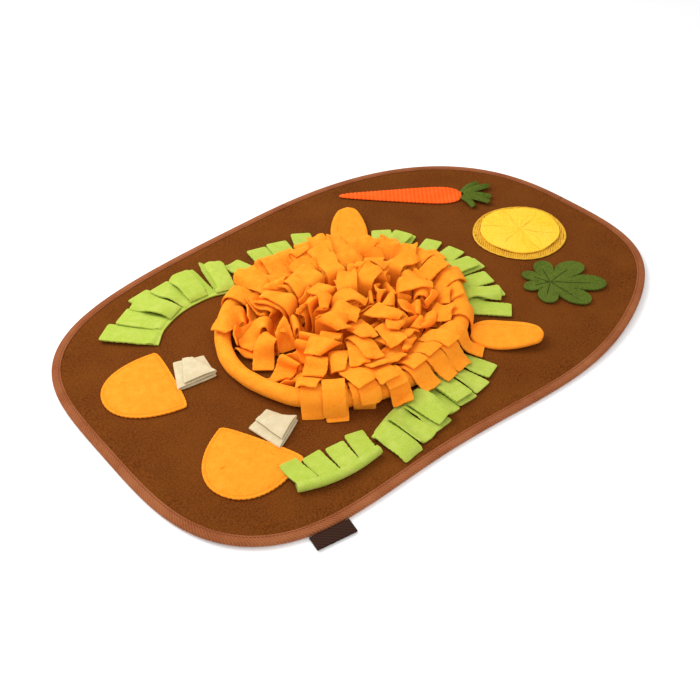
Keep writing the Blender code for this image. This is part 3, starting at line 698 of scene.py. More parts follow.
FOLDED_COUNT, FOLDED_LENGTH = 4, 56.0
FOLD_START, FOLD_RADIUS = 8.0, 3.6     # how far from the seam it bends back, and how wide
SINK_RUN = 30.0                # past the bend it sinks over this length
MOST_TURN = 0.18               # radians that a fringe's strip may be sewn on aslant
FRINGE_RISE = 7.0
FRINGE_MARGIN, FOLDED_MARGIN = 2.0, 0.8
HEADER_IN, HEADER_OUT = 8.5, 5.0   # the uncut edge, either side of its seam
RING_HEADER_IN = 2.5           # less where the ring is beside it
FRINGE_LEVEL, HEADER_LEVEL = MAT_TOP + 1.3, MAT_TOP + 1.35
LOWER_CAP, CAP_REACH, CAP_TOP = (-262.0, -102.0), 52.0, 9.6
SPINES_RADII = (128.0, 106.0)  # the oval that the heap's spines cover


def curve_through(points, stops):
    """Catmull-Rom curve through points (along axis 0) at stops counted in points; straight on
    past both ends."""
    ends = np.concatenate([2 * points[:1] - points[1:2], points, 2 * points[-1:] - points[-2:-1]])
    start = np.clip(np.floor(stops).astype(int), 0, len(points) - 2)
    t = (stops - start).reshape(-1, *([1] * (points.ndim - 1)))
    a, b, c, d = (ends[start + k] for k in range(4))
    return 0.5 * (2 * b + (c - a) * t + (2 * a - 5 * b + 4 * c - d) * t ** 2
                  + (3 * b - a - 3 * c + d) * t ** 3)


def header(path, profile):
    """The uncut edge of a fringe: a section of (outward, height) carried along its seam, and
    its area."""
    way = left_of(unit(np.gradient(path, axis=0)))
    plan = path[:, None] + profile[None, :, :1] * way[:, None]
    height = np.broadcast_to(profile[None, :, 1:], (len(path), len(profile), 1))
    return (solid_sheet(np.concatenate([plan, height], -1)[::-1], FLEECE_THICK),
            steps_of(profile).sum() * steps_of(path).sum())


def fringe_strips(group, path, length, seconds, splay):
    """Strips along a seam, lying outward to the left of the path. They spread by the splay,
    in radians, from the middle to either end, or draw together where it is below zero. A
    second strip lies higher, shorter and more aslant. A gust curls their ends up."""
    count = max(2, int(round(steps_of(path).sum() / FRINGE_PITCH)))
    places = even_steps(path, 2 * count + 1)
    across = np.linspace(-1.0, 1.0, COLUMNS)[None, :]
    share = np.linspace(0.0, 1.0, ROWS)[:, None]
    held = np.zeros((ROWS, COLUMNS), bool)
    held[:2] = True
    for k in range(count):
        ahead = unit(places[2 * k + 2] - places[2 * k])
        for layer in range(1 + (draw.uniform() < seconds)):
            turned = np.clip(draw.normal(0.0, 0.13 + 0.14 * layer), -MOST_TURN, MOST_TURN)
            turned -= splay * (2 * (k + 0.5) / count - 1)
            way = turned_by(left_of(ahead), turned)
            spot = places[2 * k + 1] - way * 6.0 + ahead * draw.normal(0.0, 1.0 + 5.0 * layer)
            cut = length * draw.uniform(0.92, 1.14) * (1.0 - 0.14 * layer) + 6.0
            along = np.linspace(0.0, cut, ROWS)
            rise = (FRINGE_RISE + 6.0 * layer) * ease(along / cut * 1.6)
            points = strip_points(spot, way, np.stack([along, FRINGE_LEVEL + rise], -1))
            roll = draw.choice((-1.0, 1.0)) * draw.uniform(3.0, 7.0)
            points[..., 2] += (2.4 + 2.2 * ease(share * 4.0)) * layer
            points[..., 2] += (roll * across + abs(roll)) * ease(share * 3.0)
            curl = np.array((*way * draw.uniform(-500.0, 500.0), draw.uniform(0.0, 2600.0)))
            sideways = np.array((*ahead * draw.normal(0.0, 500.0), 0.0))
            twist = 1.0 + draw.uniform(-0.8, 0.8) * across[..., None]
            gust = (curl + sideways) * (share ** 2)[..., None] * twist
            strips.append((group, points, held, gust, draw.uniform(0.0, 0.8)))


def floor_at(x, y):
    """The lowest a strip's middle may lie: on the mat, the heap's spines or the lower cap."""
    on_cap = ease(1.4 - np.hypot((x - LOWER_CAP[0]) / CAP_REACH, (y - LOWER_CAP[1]) / CAP_REACH))
    on_spines = np.hypot((x - RING_CENTRE[0]) / SPINES_RADII[0],
                         (y - RING_CENTRE[1]) / SPINES_RADII[1]) < 1.0
    return FRINGE_LEVEL + (CAP_TOP - MAT_TOP) * on_cap + FLEECE_THICK * on_spines


def seam_through(corners):
    """A fine smooth path through a seam's corners."""
    return curve_through(np.array(corners), np.linspace(0, len(corners) - 1, 400))


draw = np.random.default_rng(FRINGE_SEED)
headers = {}
for group, _, seam, length, seconds, splay, _ in FRINGES:
    if len(seam) == 2:
        path = ring_point(np.linspace(*seam, 400), TUBE_RADIUS + 1.5)[0]
        out_steps = np.array((-RING_HEADER_IN, HEADER_OUT))
    else:
        path = seam_through(seam)
        out_steps = np.linspace(-HEADER_IN, HEADER_OUT, 6)
    headers[group] = header(path[::10], np.c_[out_steps, np.full(len(out_steps), HEADER_LEVEL)])
    fringe_strips(group, path, length, seconds, splay)

path = seam_through(FOLDED_SEAM)
straight_out = left_of(unit(path[-1] - path[0]))
places = even_steps(path, 2 * FOLDED_COUNT + 1)
bend = np.pi * FOLD_RADIUS
for k in range(FOLDED_COUNT):
    way = heading(math.atan2(straight_out[1], straight_out[0]) + 0.08 * (k - 1.5)
                  + draw.normal(0.0, 0.02))
    along = np.linspace(0.0, FOLDED_LENGTH + draw.uniform(-3.0, 3.0), ROWS)
    past = along - FOLD_START - bend
    angle = np.clip((along - FOLD_START) / bend, 0.0, 1.0) * np.pi
    sunk = ease(past / SINK_RUN)
    profile = np.stack([
        np.minimum(along, FOLD_START) + FOLD_RADIUS * np.sin(angle) - np.maximum(past, 0.0),
        FRINGE_LEVEL + FOLD_RADIUS * (1.0 - np.cos(angle)) * (1.0 - 0.75 * sunk)], -1)
    points = strip_points(places[2 * k + 1], way, profile)
    points[..., 2] += draw.uniform(-1.0, 1.0) * sunk[:, None] * np.linspace(-1.0, 1.0, COLUMNS)
    back = along > FOLD_START + bend
    points[back, :, 2] = np.maximum(points[back, :, 2],
                                    floor_at(points[back, :, 0], points[back, :, 1]))
    strips.append((FOLDED_FRINGE[0], points, np.ones((ROWS, COLUMNS), bool),
                   np.zeros((ROWS, COLUMNS, 3)), draw.uniform(0.0, 1.0)))
turn = np.linspace(0.0, np.pi, 9)
headers[FOLDED_FRINGE[0]] = header(path[::10], np.concatenate([
    np.array(((0.0, FRINGE_LEVEL),)),
    np.stack([FOLD_START + FOLD_RADIUS * np.sin(turn) * 1.03,
              FRINGE_LEVEL + FOLD_RADIUS * (1.0 - np.cos(turn)) * 1.02], -1),
    np.array(((4.5, MAT_TOP + 1.45 + 2 * FOLD_RADIUS),))]))

# =============================================================================
# All the strips are let fall together until they lie still on each other, the tube
# and the mat. Then each is cut as a sheet of fleece on the few points that fell, and
# a band's strips are joined to its uncut spine or edge in one piece.
# =============================================================================
FALL_SECONDS, FALL_RATE = 1.3, 360.0
FALL_PULL, AIR_DRAG, TOP_SPEED = 3600.0, 11.0, 320.0
GUST_SHARE = 0.33              # of the fall, in which the gust blows
SHEAR_SHARE, STIFF_ALONG, STIFF_ACROSS = 0.5, 0.045, 0.22      # how firmly slants and bends hold
KEEP_APART = 5.4               # from a point of one strip to a point of another
SEARCH_EVERY, SEARCH_SPARE = 6, 3.4
PUSH_SHARE, GRIP_SHARE = 0.7, 0.35     # of an overlap undone and a slide held at each step
REST_SHARE = 0.75              # of its speed that a point keeps on the floor or tube
TUBE_GAP = 2.6
FINE_ROWS, FINE_COLUMNS = 28, 10
CORNER = 0.6                   # how far a strip's corners are worn back
CUT_SPARE = 1.5                # a strip goes on this far past its last points
RAG = ((0.22, 2.1, 1.0), (0.16, 3.9, 2.0))     # how its cut sides waver


def near_pairs(points, owner, reach):
    """Pairs of points of different owners within reach, found through a grid of cells."""
    cell = np.floor(points / reach).astype(np.int64)
    cell -= cell.min(0) - 1
    width = cell.max(0) + 2
    key = (cell[:, 0] * width[1] + cell[:, 1]) * width[2] + cell[:, 2]
    order = np.argsort(key, kind="stable")
    lined = key[order]
    first, second = [], []
    for dx, dy, dz in np.argwhere(np.ones((3, 3, 3))) - 1:
        shift = (dx * width[1] + dy) * width[2] + dz
        if shift < 0:
            continue
        low = np.searchsorted(lined, key + shift, "left")
        count = np.searchsorted(lined, key + shift, "right") - low
        a = np.repeat(np.arange(len(key)), count)
        step = np.arange(count.sum()) - np.repeat(np.cumsum(count) - count, count)
        b = order[np.repeat(low, count) + step]
        keep = owner[a] != owner[b]
        if shift == 0:
            keep &= a < b
        first.append(a[keep])
        second.append(b[keep])
    a, b = np.concatenate(first), np.concatenate(second)
    keep = ((points[a] - points[b]) ** 2).sum(1) < reach * reach
    return a[keep], b[keep]


def pull(place, free, first, second, rest, share):
    """Bring two sets of points back to their distance; free is 0 for a point that is held."""
    gap = place[second] - place[first]
    length = np.maximum(np.linalg.norm(gap, axis=-1, keepdims=True), 1e-6)
    move = share * (length - rest) / length / np.maximum(free[first] + free[second], 1e-6) * gap
    place[first] += free[first] * move
    place[second] -= free[second] * move


def ties_of(place):
    """What ties a strip's points, as (first, second, distance, share): the threads along and
    across, the slants between them, and every second point against bending."""
    down = np.linalg.norm(place[:, 1:] - place[:, :-1], axis=-1).mean((1, 2))
    over = np.linalg.norm(place[:, :, 1:] - place[:, :, :-1], axis=-1).mean((1, 2))
    down, over = down[:, None, None, None], over[:, None, None, None]
    slant = np.sqrt(down ** 2 + over ** 2)
    every, r, c = slice(None), np.arange(ROWS), np.arange(COLUMNS)
    left, right = c[None, :-1], c[None, 1:]
    ties = []
    for odd in (0, 1):
        a, b = r[odd:-1:2], c[odd:-1:2]
        upper, lower = a[:, None], a[:, None] + 1
        ties += [((every, a), (every, a + 1), down, 1.0),
                 ((every, upper, left), (every, lower, right), slant, SHEAR_SHARE),
                 ((every, lower, left), (every, upper, right), slant, SHEAR_SHARE),
                 ((every, every, b), (every, every, b + 1), over, 1.0)]
    ties += [((every, a), (every, a + 2), 2 * down, STIFF_ALONG)
             for a in (r[:-2][r[:-2] % 4 < 2], r[:-2][r[:-2] % 4 > 1])]
    ties += [((every, every, b), (every, every, b + 2), 2 * over, STIFF_ACROSS)
             for b in (c[:2], c[2:3])]
    return ties


def push_apart(flat, before, loose, a, b):
    """Part the points of two strips that are too near, and hold their slide on each other."""
    gap = flat[b] - flat[a]
    apart = np.maximum(np.linalg.norm(gap, axis=1), 1e-6)
    hit = apart < KEEP_APART
    a, b, gap, apart = a[hit], b[hit], gap[hit], apart[hit]
    away = gap / apart[:, None]
    total = np.maximum(loose[a] + loose[b], 1e-6)
    slide = (flat[b] - before[b]) - (flat[a] - before[a])
    slide -= (slide * away).sum(1)[:, None] * away
    push = PUSH_SHARE * (KEEP_APART - apart)[:, None] * away - GRIP_SHARE * slide
    push = push / total[:, None]
    touches = np.bincount(a, minlength=len(flat)) + np.bincount(b, minlength=len(flat))
    for k in range(3):
        moved = np.bincount(b, push[:, k], len(flat)) - np.bincount(a, push[:, k], len(flat))
        flat[:, k] += loose * moved / np.maximum(1.0, 0.5 * touches)


def off_the_tube(flat, loose):
    """Move points out of the tube, an oval of round section; tells how deep each was."""
    local = flat[:, :2] - RING_CENTRE
    level = np.maximum(np.linalg.norm(local / RING_RADII, axis=1), 1e-6)
    slope = local / RING_RADII ** 2 / level[:, None]
    steep = np.linalg.norm(slope, axis=1)
    side = (level - 1.0) / steep
    height = flat[:, 2] - (MAT_TOP + TUBE_RADIUS)
    span = np.maximum(np.hypot(side, height), 1e-6)
    inside = np.maximum(TUBE_RADIUS + TUBE_GAP - span, 0.0) * loose
    flat[:, :2] += (inside * side / span)[:, None] * slope / steep[:, None]
    flat[:, 2] += inside * height / span
    return inside


def settle(place, held, gust):
    """Let strips fall till they lie still: points tied at their cut distances, kept apart from
    other strips, the tube and the floor. A gust pushes their free ends at first."""
    free = np.where(held, 0.0, 1.0)[..., None]
    ties = ties_of(place)
    owner = np.repeat(np.arange(len(place)), ROWS * COLUMNS)
    loose = free.reshape(-1)
    flat = place.reshape(-1, 3)
    speed = np.zeros_like(place)
    step, steps = 1.0 / FALL_RATE, int(FALL_SECONDS * FALL_RATE)
    for number in range(steps):
        if number % SEARCH_EVERY == 0:
            a, b = near_pairs(flat, owner, KEEP_APART + SEARCH_SPARE)
            moving = loose[a] + loose[b] > 0
            a, b = a[moving], b[moving]
        before = place.copy()
        speed[..., 2] -= FALL_PULL * step
        if number < steps * GUST_SHARE:
            speed += gust * step
        speed *= 1.0 - AIR_DRAG * step
        size = np.linalg.norm(speed, axis=-1, keepdims=True)
        speed *= np.minimum(1.0, TOP_SPEED / np.maximum(size, 1e-6))
        place += speed * step * free
        for tie in ties:
            pull(place, free, *tie)
        push_apart(flat, before.reshape(-1, 3), loose, a, b)
        inside = off_the_tube(flat, loose)
        lowest = floor_at(flat[:, 0], flat[:, 1])
        down_there = (flat[:, 2] < lowest) & (loose > 0)
        flat[:, 2] = np.where(down_there, lowest, flat[:, 2])
        speed = (place - before) * FALL_RATE
        speed *= np.where(down_there | (inside > 0), REST_SHARE, 1.0).reshape(*place.shape[:3], 1)
    return place


def cut_strip(points, phase, margin, flare, overlap):
    """A fine, slightly ragged strip of cloth on the few points that fell. Its sides part by
    twice the flare toward its free end, where one side is lifted by the overlap."""
    smooth = points.copy()
    for _ in range(2):
        smooth[2:-1] = 0.5 * smooth[2:-1] + 0.25 * (smooth[1:-2] + smooth[3:])
    row_gap = np.linalg.norm(smooth[1:] - smooth[:-1], axis=-1).mean()
    column_gap = 2 * STRIP_HALF / (COLUMNS - 1)
    rows = np.linspace(0.0, ROWS - 1 + CUT_SPARE / row_gap, FINE_ROWS)
    columns = np.linspace(-margin / column_gap, COLUMNS - 1 + margin / column_gap, FINE_COLUMNS)
    fine = curve_through(smooth, rows)
    fine = np.swapaxes(curve_through(np.swapaxes(fine, 0, 1), columns), 0, 1)
    side = unit(fine[:, -1] - fine[:, 0])
    rag = ripple(np.arange(FINE_ROWS), [(amount, turns, k * phase) for amount, turns, k in RAG])
    fine[:, 0] += side * rag[:, None]
    fine[:, -1] += side * np.roll(rag, 9)[:, None]
    share = np.linspace(0.0, 1.0, FINE_ROWS)[:, None, None]
    across = np.linspace(-1.0, 1.0, FINE_COLUMNS)[None, :, None]
    fine += flare * ease(share * 1.2) * across * side[:, None]
    fine[..., 2:] += 0.5 * ease(share * 2.0) * (abs(overlap) + overlap * across)
    inward = np.array(((1.0,), (-1.0,)))
    fine[-2, (0, -1)] += CORNER * 0.35 * side[-2] * inward
    back = unit(fine[-2, (0, -1)] - fine[-1, (0, -1)])
    fine[-1, (0, -1)] += CORNER * (side[-1] * inward + 0.6 * back)
    return fine


groups, starts, helds, gusts, shades = zip(*strips)
lying = settle(np.array(starts), np.array(helds), np.array(gusts))
green_fleece = brushed_fleece("green_brushed_fleece", "A0B63B", "B3C351", "BEC861")
NO_LAP = (0.0, 0.0)
BANDS = [(*band[:2], HEAP_MARGIN, NO_LAP) for band in (*HEAP_BANDS, HEAP_CORE)]
BANDS += [(*band[:2], FRINGE_MARGIN, band[-1]) for band in FRINGES]
BANDS += [(*FOLDED_FRINGE, FOLDED_MARGIN, NO_LAP)]
for name, stands_for, margin, (flare, overlap) in BANDS:
    chosen = [k for k, group in enumerate(groups) if group == name]
    in_heap = name in spines
    uncut, area = spine(spines[name], chosen[0]) if in_heap else headers[name]
    parts = [uncut]
    for k in chosen:
        fine = cut_strip(lying[k], 0.7 * k, margin, flare, overlap)
        parts.append(solid_sheet(fine, FLEECE_THICK, rim=0.7))
        cut = steps_of(starts[k][:, 0]).sum() + CUT_SPARE
        area += cut * (2 * (STRIP_HALF + margin) + flare)
    piece = make_piece(name, parts, orange_fleece if in_heap else green_fleece,
                       stands_for, sharp=50.0,
                       shades=[0.5 if in_heap else 0.0] + [shades[k] for k in chosen])
    width = 2 * (STRIP_HALF + margin) * len(chosen)
    declare_sheet(piece, width, area / width, "gathered" if in_heap else "laid")

# =============================================================================
# The mushroom caps: orange fleece cut to a half dome on a bowed brim and laid flat
# beyond the ring. A row of topstitch runs just inside the cut edge.
# =============================================================================
CAP_WIDTH, CAP_DEPTH, CAP_BRIM = 94.0, 70.0, 7.0
CAP_MIDDLE = 0.42 * CAP_DEPTH  # from the brim's line to the middle of the piece
CAP_CROWN, CAP_GROOVE, GROOVE_HALF = 2.6, 0.8, 1.3
CAP_BASE = 1.15                # the level of a single layer of fleece on the mat
BESIDE_RING = 12.5             # from the ring's middle line to a piece beside it
MUSHROOMS = (
    # name, direction round the ring, lean, length of the stem
    ("upper", 163.0, 168.0, 46.0),
    ("lower", 209.0, 204.0, 44.0),
)
CAP_INSETS = (8.0, 5.6, 4.4, 3.4, 2.4, 1.3, 0.5, 0.0)
CAP_RINGS = np.linspace(0.05, 0.93, 14)
TOPSTITCH_IN, TOPSTITCH = 3.4, (3.3, 2.5, 0.42)
TACKS, TACK = ([[-6.0, 8.0], [-4.5, 4.5]], [[14.0, -17.0], [11.0, -15.5]]), (4.0, 3.6, 0.4)


def onto(points, spot, degrees):
    """Points turned about the vertical by some degrees, then moved to a spot."""
    c, s = math.cos(math.radians(degrees)), math.sin(math.radians(degrees))
    turned = points @ np.array(((c, s, 0.0), (-s, c, 0.0), (0.0, 0.0, 1.0)))
    return turned + np.array((*spot, 0.0))


def rings_of(outline, insets, shares):
    """Rings of a flat piece, from its middle out to its cut edge: shares of the outline at
    the deepest inset, then the outline drawn in towards the middle by each inset."""
    reach = np.linalg.norm(outline, axis=1)
    facing = np.maximum((outline * outward(outline)).sum(1) / reach, 0.45)
    drawn = [outline * (1.0 - inset / facing / reach)[:, None] for inset in insets]
    return np.stack([drawn[0] * share for share in shares] + drawn)


def share_out(plan, outline):
    """How far out each point of a piece's rings is, as a share of the way to its edge."""
    return np.linalg.norm(plan, axis=-1) / np.linalg.norm(outline, axis=-1)


def laid_on(plan, base, height):
    """Points in plan raised onto the mat: by a base, and by a height of their own."""
    level = np.broadcast_to(MAT_TOP + base + height, plan.shape[:-1])
    return np.concatenate([plan, level[..., None]], -1)


def cap_outline(count=220):
    """A mushroom cap in plan with its top along +X: a fuller-than-round dome, bowed brim."""
    angle = np.linspace(0.0, 2 * np.pi, count * 8, endpoint=False)
    along, side = np.cos(angle), np.sin(angle)
    dome = along >= 0
    x = np.where(dome, CAP_DEPTH * np.abs(along) ** 0.9, -CAP_BRIM * np.abs(along) ** 0.5)
    y = CAP_WIDTH / 2 * (np.sign(side) * np.abs(side) ** np.where(dome, 0.92, 0.72))
    return even_steps(closed(np.stack([x - CAP_MIDDLE, y], -1)), count, looped=True)


orange_thread = sewing_thread("orange_sewing_thread", "E2891C")
outline = cap_outline()
rings = rings_of(outline, CAP_INSETS, CAP_RINGS)
share = share_out(rings, outline)
inset = np.concatenate([np.full(len(CAP_RINGS), 12.0), CAP_INSETS])[:, None]
sewn = (CAP_CROWN * (1.0 - share ** 2)
        - CAP_GROOVE * np.exp(-((inset - TOPSTITCH_IN) / GROOVE_HALF) ** 2))
fuzz = 0.25 * np.sin(np.arange(len(outline)) * 1.7)[:, None] * (share[..., None] > 0.99)
topstitch = laid_on(rings_of(outline, (TOPSTITCH_IN,), ())[0], FLEECE_THICK, -0.5)
for name, ring_direction, lean, stem in MUSHROOMS:
    spot = ring_point(ring_direction, BESIDE_RING)[0]
    spot = spot + heading(math.radians(lean)) * (stem + CAP_BRIM + 2.0 + CAP_MIDDLE)
    uneven = 0.35 * np.sin(rings[..., 0] / 11.0 + stem) * np.sin(rings[..., 1] / 14.0)
    middle = laid_on(rings + fuzz, CAP_BASE, sewn + uneven * (1 - share))
    cap = make_piece(f"cap_{name}_fleece", [
        solid_sheet(onto(middle, spot, lean), FLEECE_THICK, wrap=True)], orange_fleece,
        "cap_" + name, sharp=50.0, shades=[0.3])
    sewn_lines = [stitches(onto(closed(topstitch), spot, lean), *TOPSTITCH)]
    sewn_lines += [stitches(onto(laid_on(np.array(tack), FLEECE_THICK, 1.9), spot, lean), *TACK)
                   for tack in TACKS]
    thread = make_piece("cap_stitches_" + name, sewn_lines, orange_thread)
    declare_sheet(cap, CAP_WIDTH, CAP_DEPTH + CAP_BRIM, "laid", area=flat_area(outline),
                  thread=thread)

# =============================================================================
# The stems: each is a strip of cream cotton folded twice on a slant, so that three
# layers lie on each other between the ring and a cap. The folds are pressed flat.
# =============================================================================
STEM_HALF = 18.0
COTTON_THICK = 1.5
THREAD_PITCH = 1.3
STEM_FLAT = 2.04 * STEM_HALF   # the strip's width before it was folded on a slant


def plain_cotton(name, dark, mid, light):
    """Plain-woven cotton: fine threads both ways, drawn at twice their real pitch."""
    material, tree, shader, where, (slub,) = new_cloth(name, 0.85, 0.08, light, ((7.0, 3.0, 0.6),))
    weave = [node(tree, "TexWave", {"Vector": where, "Scale": 1.0 / (THREAD_PITCH * MM) / 6.0,
                                    "Distortion": 1.5, "Detail": 1.0},
                  bands_direction=way).outputs["Fac"] for way in ("X", "Y")]
    cross = node(tree, "Math", dict(enumerate(weave)), operation="MULTIPLY").outputs["Value"]
    finish_cloth(tree, shader, dark, ((cross, 0.0, 0.6, 0.45, 1.0, mid),
                                      (slub, 0.4, 0.7, 0.0, 0.7, light)), cross, 0.12, 0.5)
    return material


cream_cotton = plain_cotton("cream_plain_cotton", "C5B289", "D4C39E", "DCCEAD")
side = np.linspace(-1.0, 1.0, 26)[None, :]
for name, ring_direction, lean, stem in MUSHROOMS:
    route = np.array((        # along, height of the middle, half width and slant of the strip
        (7.0, 0.80, 1.00, 0.0), (16.0, 0.85, 1.06, 0.0), (stem - 8.0, 0.85, 1.12, 1.0),
        (stem - 2.0, 1.0, 1.12, 4.0), (stem - 0.4, 2.4, 1.12, 5.0), (stem - 2.0, 3.6, 1.10, 4.0),
        (stem - 10.0, 3.8, 1.06, 1.0), (20.0, 3.9, 0.97, -4.0), (14.6, 4.1, 0.94, -6.5),
        (13.0, 5.3, 0.92, -7.0), (14.6, 6.5, 0.91, -6.5), (20.0, 6.8, 0.90, -3.0),
        (stem - 18.0, 6.9, 0.95, 2.5), (stem - 9.0, 6.6, 1.00, 6.0)))
    rows = curve_through(route, np.linspace(0.0, len(route) - 1, 90))
    along, level, half, slant = np.split(rows, 4, axis=1)
    crease = 0.35 * np.sin(side * 5.0 + along / 9.0 + stem) * ease((level - 3.0) / 2.0)
    middle = laid_on(np.stack([along + slant * side, half * STEM_HALF * side], -1), level, crease)
    folded = make_piece(f"stem_{name}_cotton", [
        solid_sheet(onto(middle, ring_point(ring_direction, BESIDE_RING)[0], lean), COTTON_THICK)],
        cream_cotton, "stem_" + name, sharp=42.0)
    declare_sheet(folded, STEM_FLAT, steps_of(rows[:, :2]).sum(), "folded")

# =============================================================================
# The petals: orange fleece folded once along its length, sewn down by the ring and
# free at the tip, which lifts a little. The open side is hemmed with one seam.
# =============================================================================
PETAL_LENGTH, PETAL_WIDTH, PETAL_LIFT = 78.0, 46.0, 6.5
PETAL_LAYERS = 3.2             # from the middle of one layer to the other's
PETAL_FOLD = 0.93              # as a share of the half width
PETAL_HEM, HEM_DEPTH, HEM_HALF = 0.80, 0.7, 1.4
HEM_STITCH = (3.3, 2.5, 0.4)
PETAL_TIP = 0.93               # share of the length where the tip rounds off
PETAL_FLAT = 2.05 * PETAL_WIDTH    # its width before it was folded
PETALS = (("petal_back", 50.0, 52.0), ("petal_front", -52.0, -50.0))
turn = np.linspace(-0.5 * np.pi, 0.5 * np.pi, 7)[1:-1]
top = np.linspace(-PETAL_FOLD, 1.0, 16)
side, level = np.concatenate([      # across as a share of the half width, level of the layer
    np.c_[np.linspace(0.86, -PETAL_FOLD, 14), np.zeros(14)],
    np.c_[-PETAL_FOLD - 0.07 * np.cos(turn), 0.5 + 0.5 * np.sin(turn)],
    np.c_[top, 1.0 + 0.30 * np.cos(top * 0.5 * np.pi)]]).T[:, None]
t = np.linspace(0.0, 1.0, 46)[:, None]
half = PETAL_WIDTH / 2 * (0.30 + 0.70 * np.sin(np.pi * t ** 0.8) ** 0.7)
half = (np.maximum(half, PETAL_WIDTH * 0.16)
        * np.sqrt(1.0 - np.clip((t - PETAL_TIP) / 0.072, 0.0, 1.0) ** 2))
hem = HEM_DEPTH * np.exp(-((side - PETAL_HEM) * PETAL_WIDTH / 2 / HEM_HALF) ** 2) * (level > 0.9)
for name, ring_direction, lean in PETALS:
    spot = ring_point(ring_direction, BESIDE_RING)[0]
    wave = 0.5 * np.sin(t * 9.0 + lean) * side
    height = PETAL_LIFT * ease((t - 0.35) / 0.65) + level * PETAL_LAYERS - hem + wave
    plan = np.stack(np.broadcast_arrays(2.0 + PETAL_LENGTH * t, half * side), -1)
    middle = laid_on(plan, 1.35, height)
    petal = make_piece(name + "_fleece", [solid_sheet(onto(middle, spot, lean), FLEECE_THICK)],
                       orange_fleece, name, sharp=60.0, shades=[0.3])
    hem_line = middle[2:-4, -4] + np.array((0.0, 0.0, FLEECE_THICK / 2 - 0.1))
    thread = make_piece(name + "_stitches", [stitches(onto(hem_line, spot, lean), *HEM_STITCH)],
                        orange_thread)
    declare_sheet(petal, PETAL_FLAT, PETAL_LENGTH, "folded",
                  area=2.05 * 2 * half.mean() * PETAL_LENGTH, thread=thread)

# =============================================================================
# The carrot: orange corduroy with its ribs across the root, sewn down flat. Its
# tuft is strips of dark green felt, creased along their length and sewn in a bunch.
# =============================================================================
CARROT_TIP, CARROT_HEADING = np.array((124.0, 198.0)), -40.0
CARROT_LENGTH, CARROT_WIDTH = 165.0, 52.0
CORD_PITCH, CORD_HEIGHT = 5.5, 1.7
CORDUROY_THICK = 2.0
TUFT_THICK, TUFT_ROOT, TUFT_GATHER = 1.6, 6.0, 8.0     # gathered to so much width a blade
TUFT_BLADES = (
    # direction from the root's, length, width
    (50.0, 39.0, 10.5), (21.0, 46.0, 12.0), (-6.0, 43.0, 12.5), (-34.0, 45.0, 11.5),
    (-58.0, 37.0, 10.0),
)


def corduroy(name, dark, mid, light):
    """Corduroy: cords of short cut pile. The cords are shaped; between them the colour is darker,
    painted shade in the grooves.
    """
    material, tree, shader, _, (pile, worn) = new_cloth(
        name, 0.9, 0.2, light, ((1.5, 3.0, 0.7), (16.0, 2.0, 0.6)))
    cord = node(tree, "Attribute", attribute_name="cord").outputs["Fac"]
    # where the cords are low the dark colour stays: painted shade in the grooves between them
    finish_cloth(tree, shader, dark, (
        (cord, 0.15, 0.8, 0.0, 1.0, mid), (pile, 0.35, 0.65, 0.0, 0.3, light),
        (worn, 0.45, 0.7, 0.0, 0.35, light)), pile, 0.5, 0.5)
    return material


t = np.linspace(0.003, 0.997, 420)[:, None]
side = np.sin(np.linspace(-0.5, 0.5, 22) * np.pi)[None, :]
cord = np.abs(np.cos(np.pi * (CARROT_LENGTH * t / CORD_PITCH + 0.10 * np.sin(9.0 * side)))) ** 0.5
half = CARROT_WIDTH / 2 * t ** 0.42 * (0.55 + 0.45 * t) * np.sqrt(1.0 - t ** 9) - 0.7
half = np.maximum(half, 0.6) + 0.9 * cord[:, -1:]
taper = np.clip(half / 6.0, 0.15, 1.0)
height = 1.1 * (1 - side ** 2) * taper + (cord * CORD_HEIGHT - 0.3) * taper * (1 - side ** 8)
plan = np.stack(np.broadcast_arrays(CARROT_LENGTH * t, half * side), -1)
middle = laid_on(plan, CORDUROY_THICK / 2, height)
root_points, root_faces = solid_sheet(onto(middle, CARROT_TIP, CARROT_HEADING), CORDUROY_THICK)
root_points[:, 2] = np.maximum(root_points[:, 2], MAT_TOP)
# the corduroy's first colour is the painted shade between its cords
carrot = make_piece("carrot_corduroy", [(root_points, root_faces)],
                    corduroy("orange_corduroy", "BC3409", "F95A18", "FF7230"),
                    "carrot_body", sharp=60.0)
# the cords' profile, which the material also reads to paint shade in the grooves between them
add_values(carrot.data, "cord", np.tile(cord.ravel(), 2).astype(np.float32))
declare_sheet(carrot, CARROT_LENGTH, CARROT_WIDTH, "laid", area=2 * half.mean() * CARROT_LENGTH)

dark_felt = needled_felt("dark_green_felt", "3E4E18", "566521", "63722B", 2.2, 0.7)
shoulder = CARROT_TIP + heading(math.radians(CARROT_HEADING)) * (CARROT_LENGTH - 3.0)
t = np.linspace(0.0, 1.0, 26)[:, None]
side = np.linspace(-1.0, 1.0, 9)[None, :]
spread = 0.62 + 0.38 * np.sin(np.pi * np.clip(t * 0.75 + 0.1, 0.0, 1.0))
crease = 3.4 * (1.0 - np.abs(side)) ** 1.3 * (0.5 + 0.5 * t)
blades, blade_area = [], 0.0
for number, (way, length, width) in enumerate(TUFT_BLADES):
    above = number % 2             # every other blade lies higher and curls the other way
    x = TUFT_ROOT + (length - TUFT_ROOT) * t - 1.6 * np.abs(side) * t
    y = width / 2 * spread * side + (above * 2 - 1) * 3.0 * t ** 2
    lift = 1.0 + 3.2 * np.sin(np.pi * t * 0.8) + 1.2 * above
    middle = laid_on(np.stack([x, y], -1), lift, crease)
    blades.append(solid_sheet(onto(middle, shoulder, CARROT_HEADING + way), TUFT_THICK))
    blade_area += length * width * 1.02
tuft = make_piece("carrot_tuft_felt", blades, dark_felt, "carrot_tuft",
                  sharp=50.0)
tuft_width = len(blades) * TUFT_GATHER
declare_sheet(tuft, tuft_width, blade_area / tuft_width, "gathered")

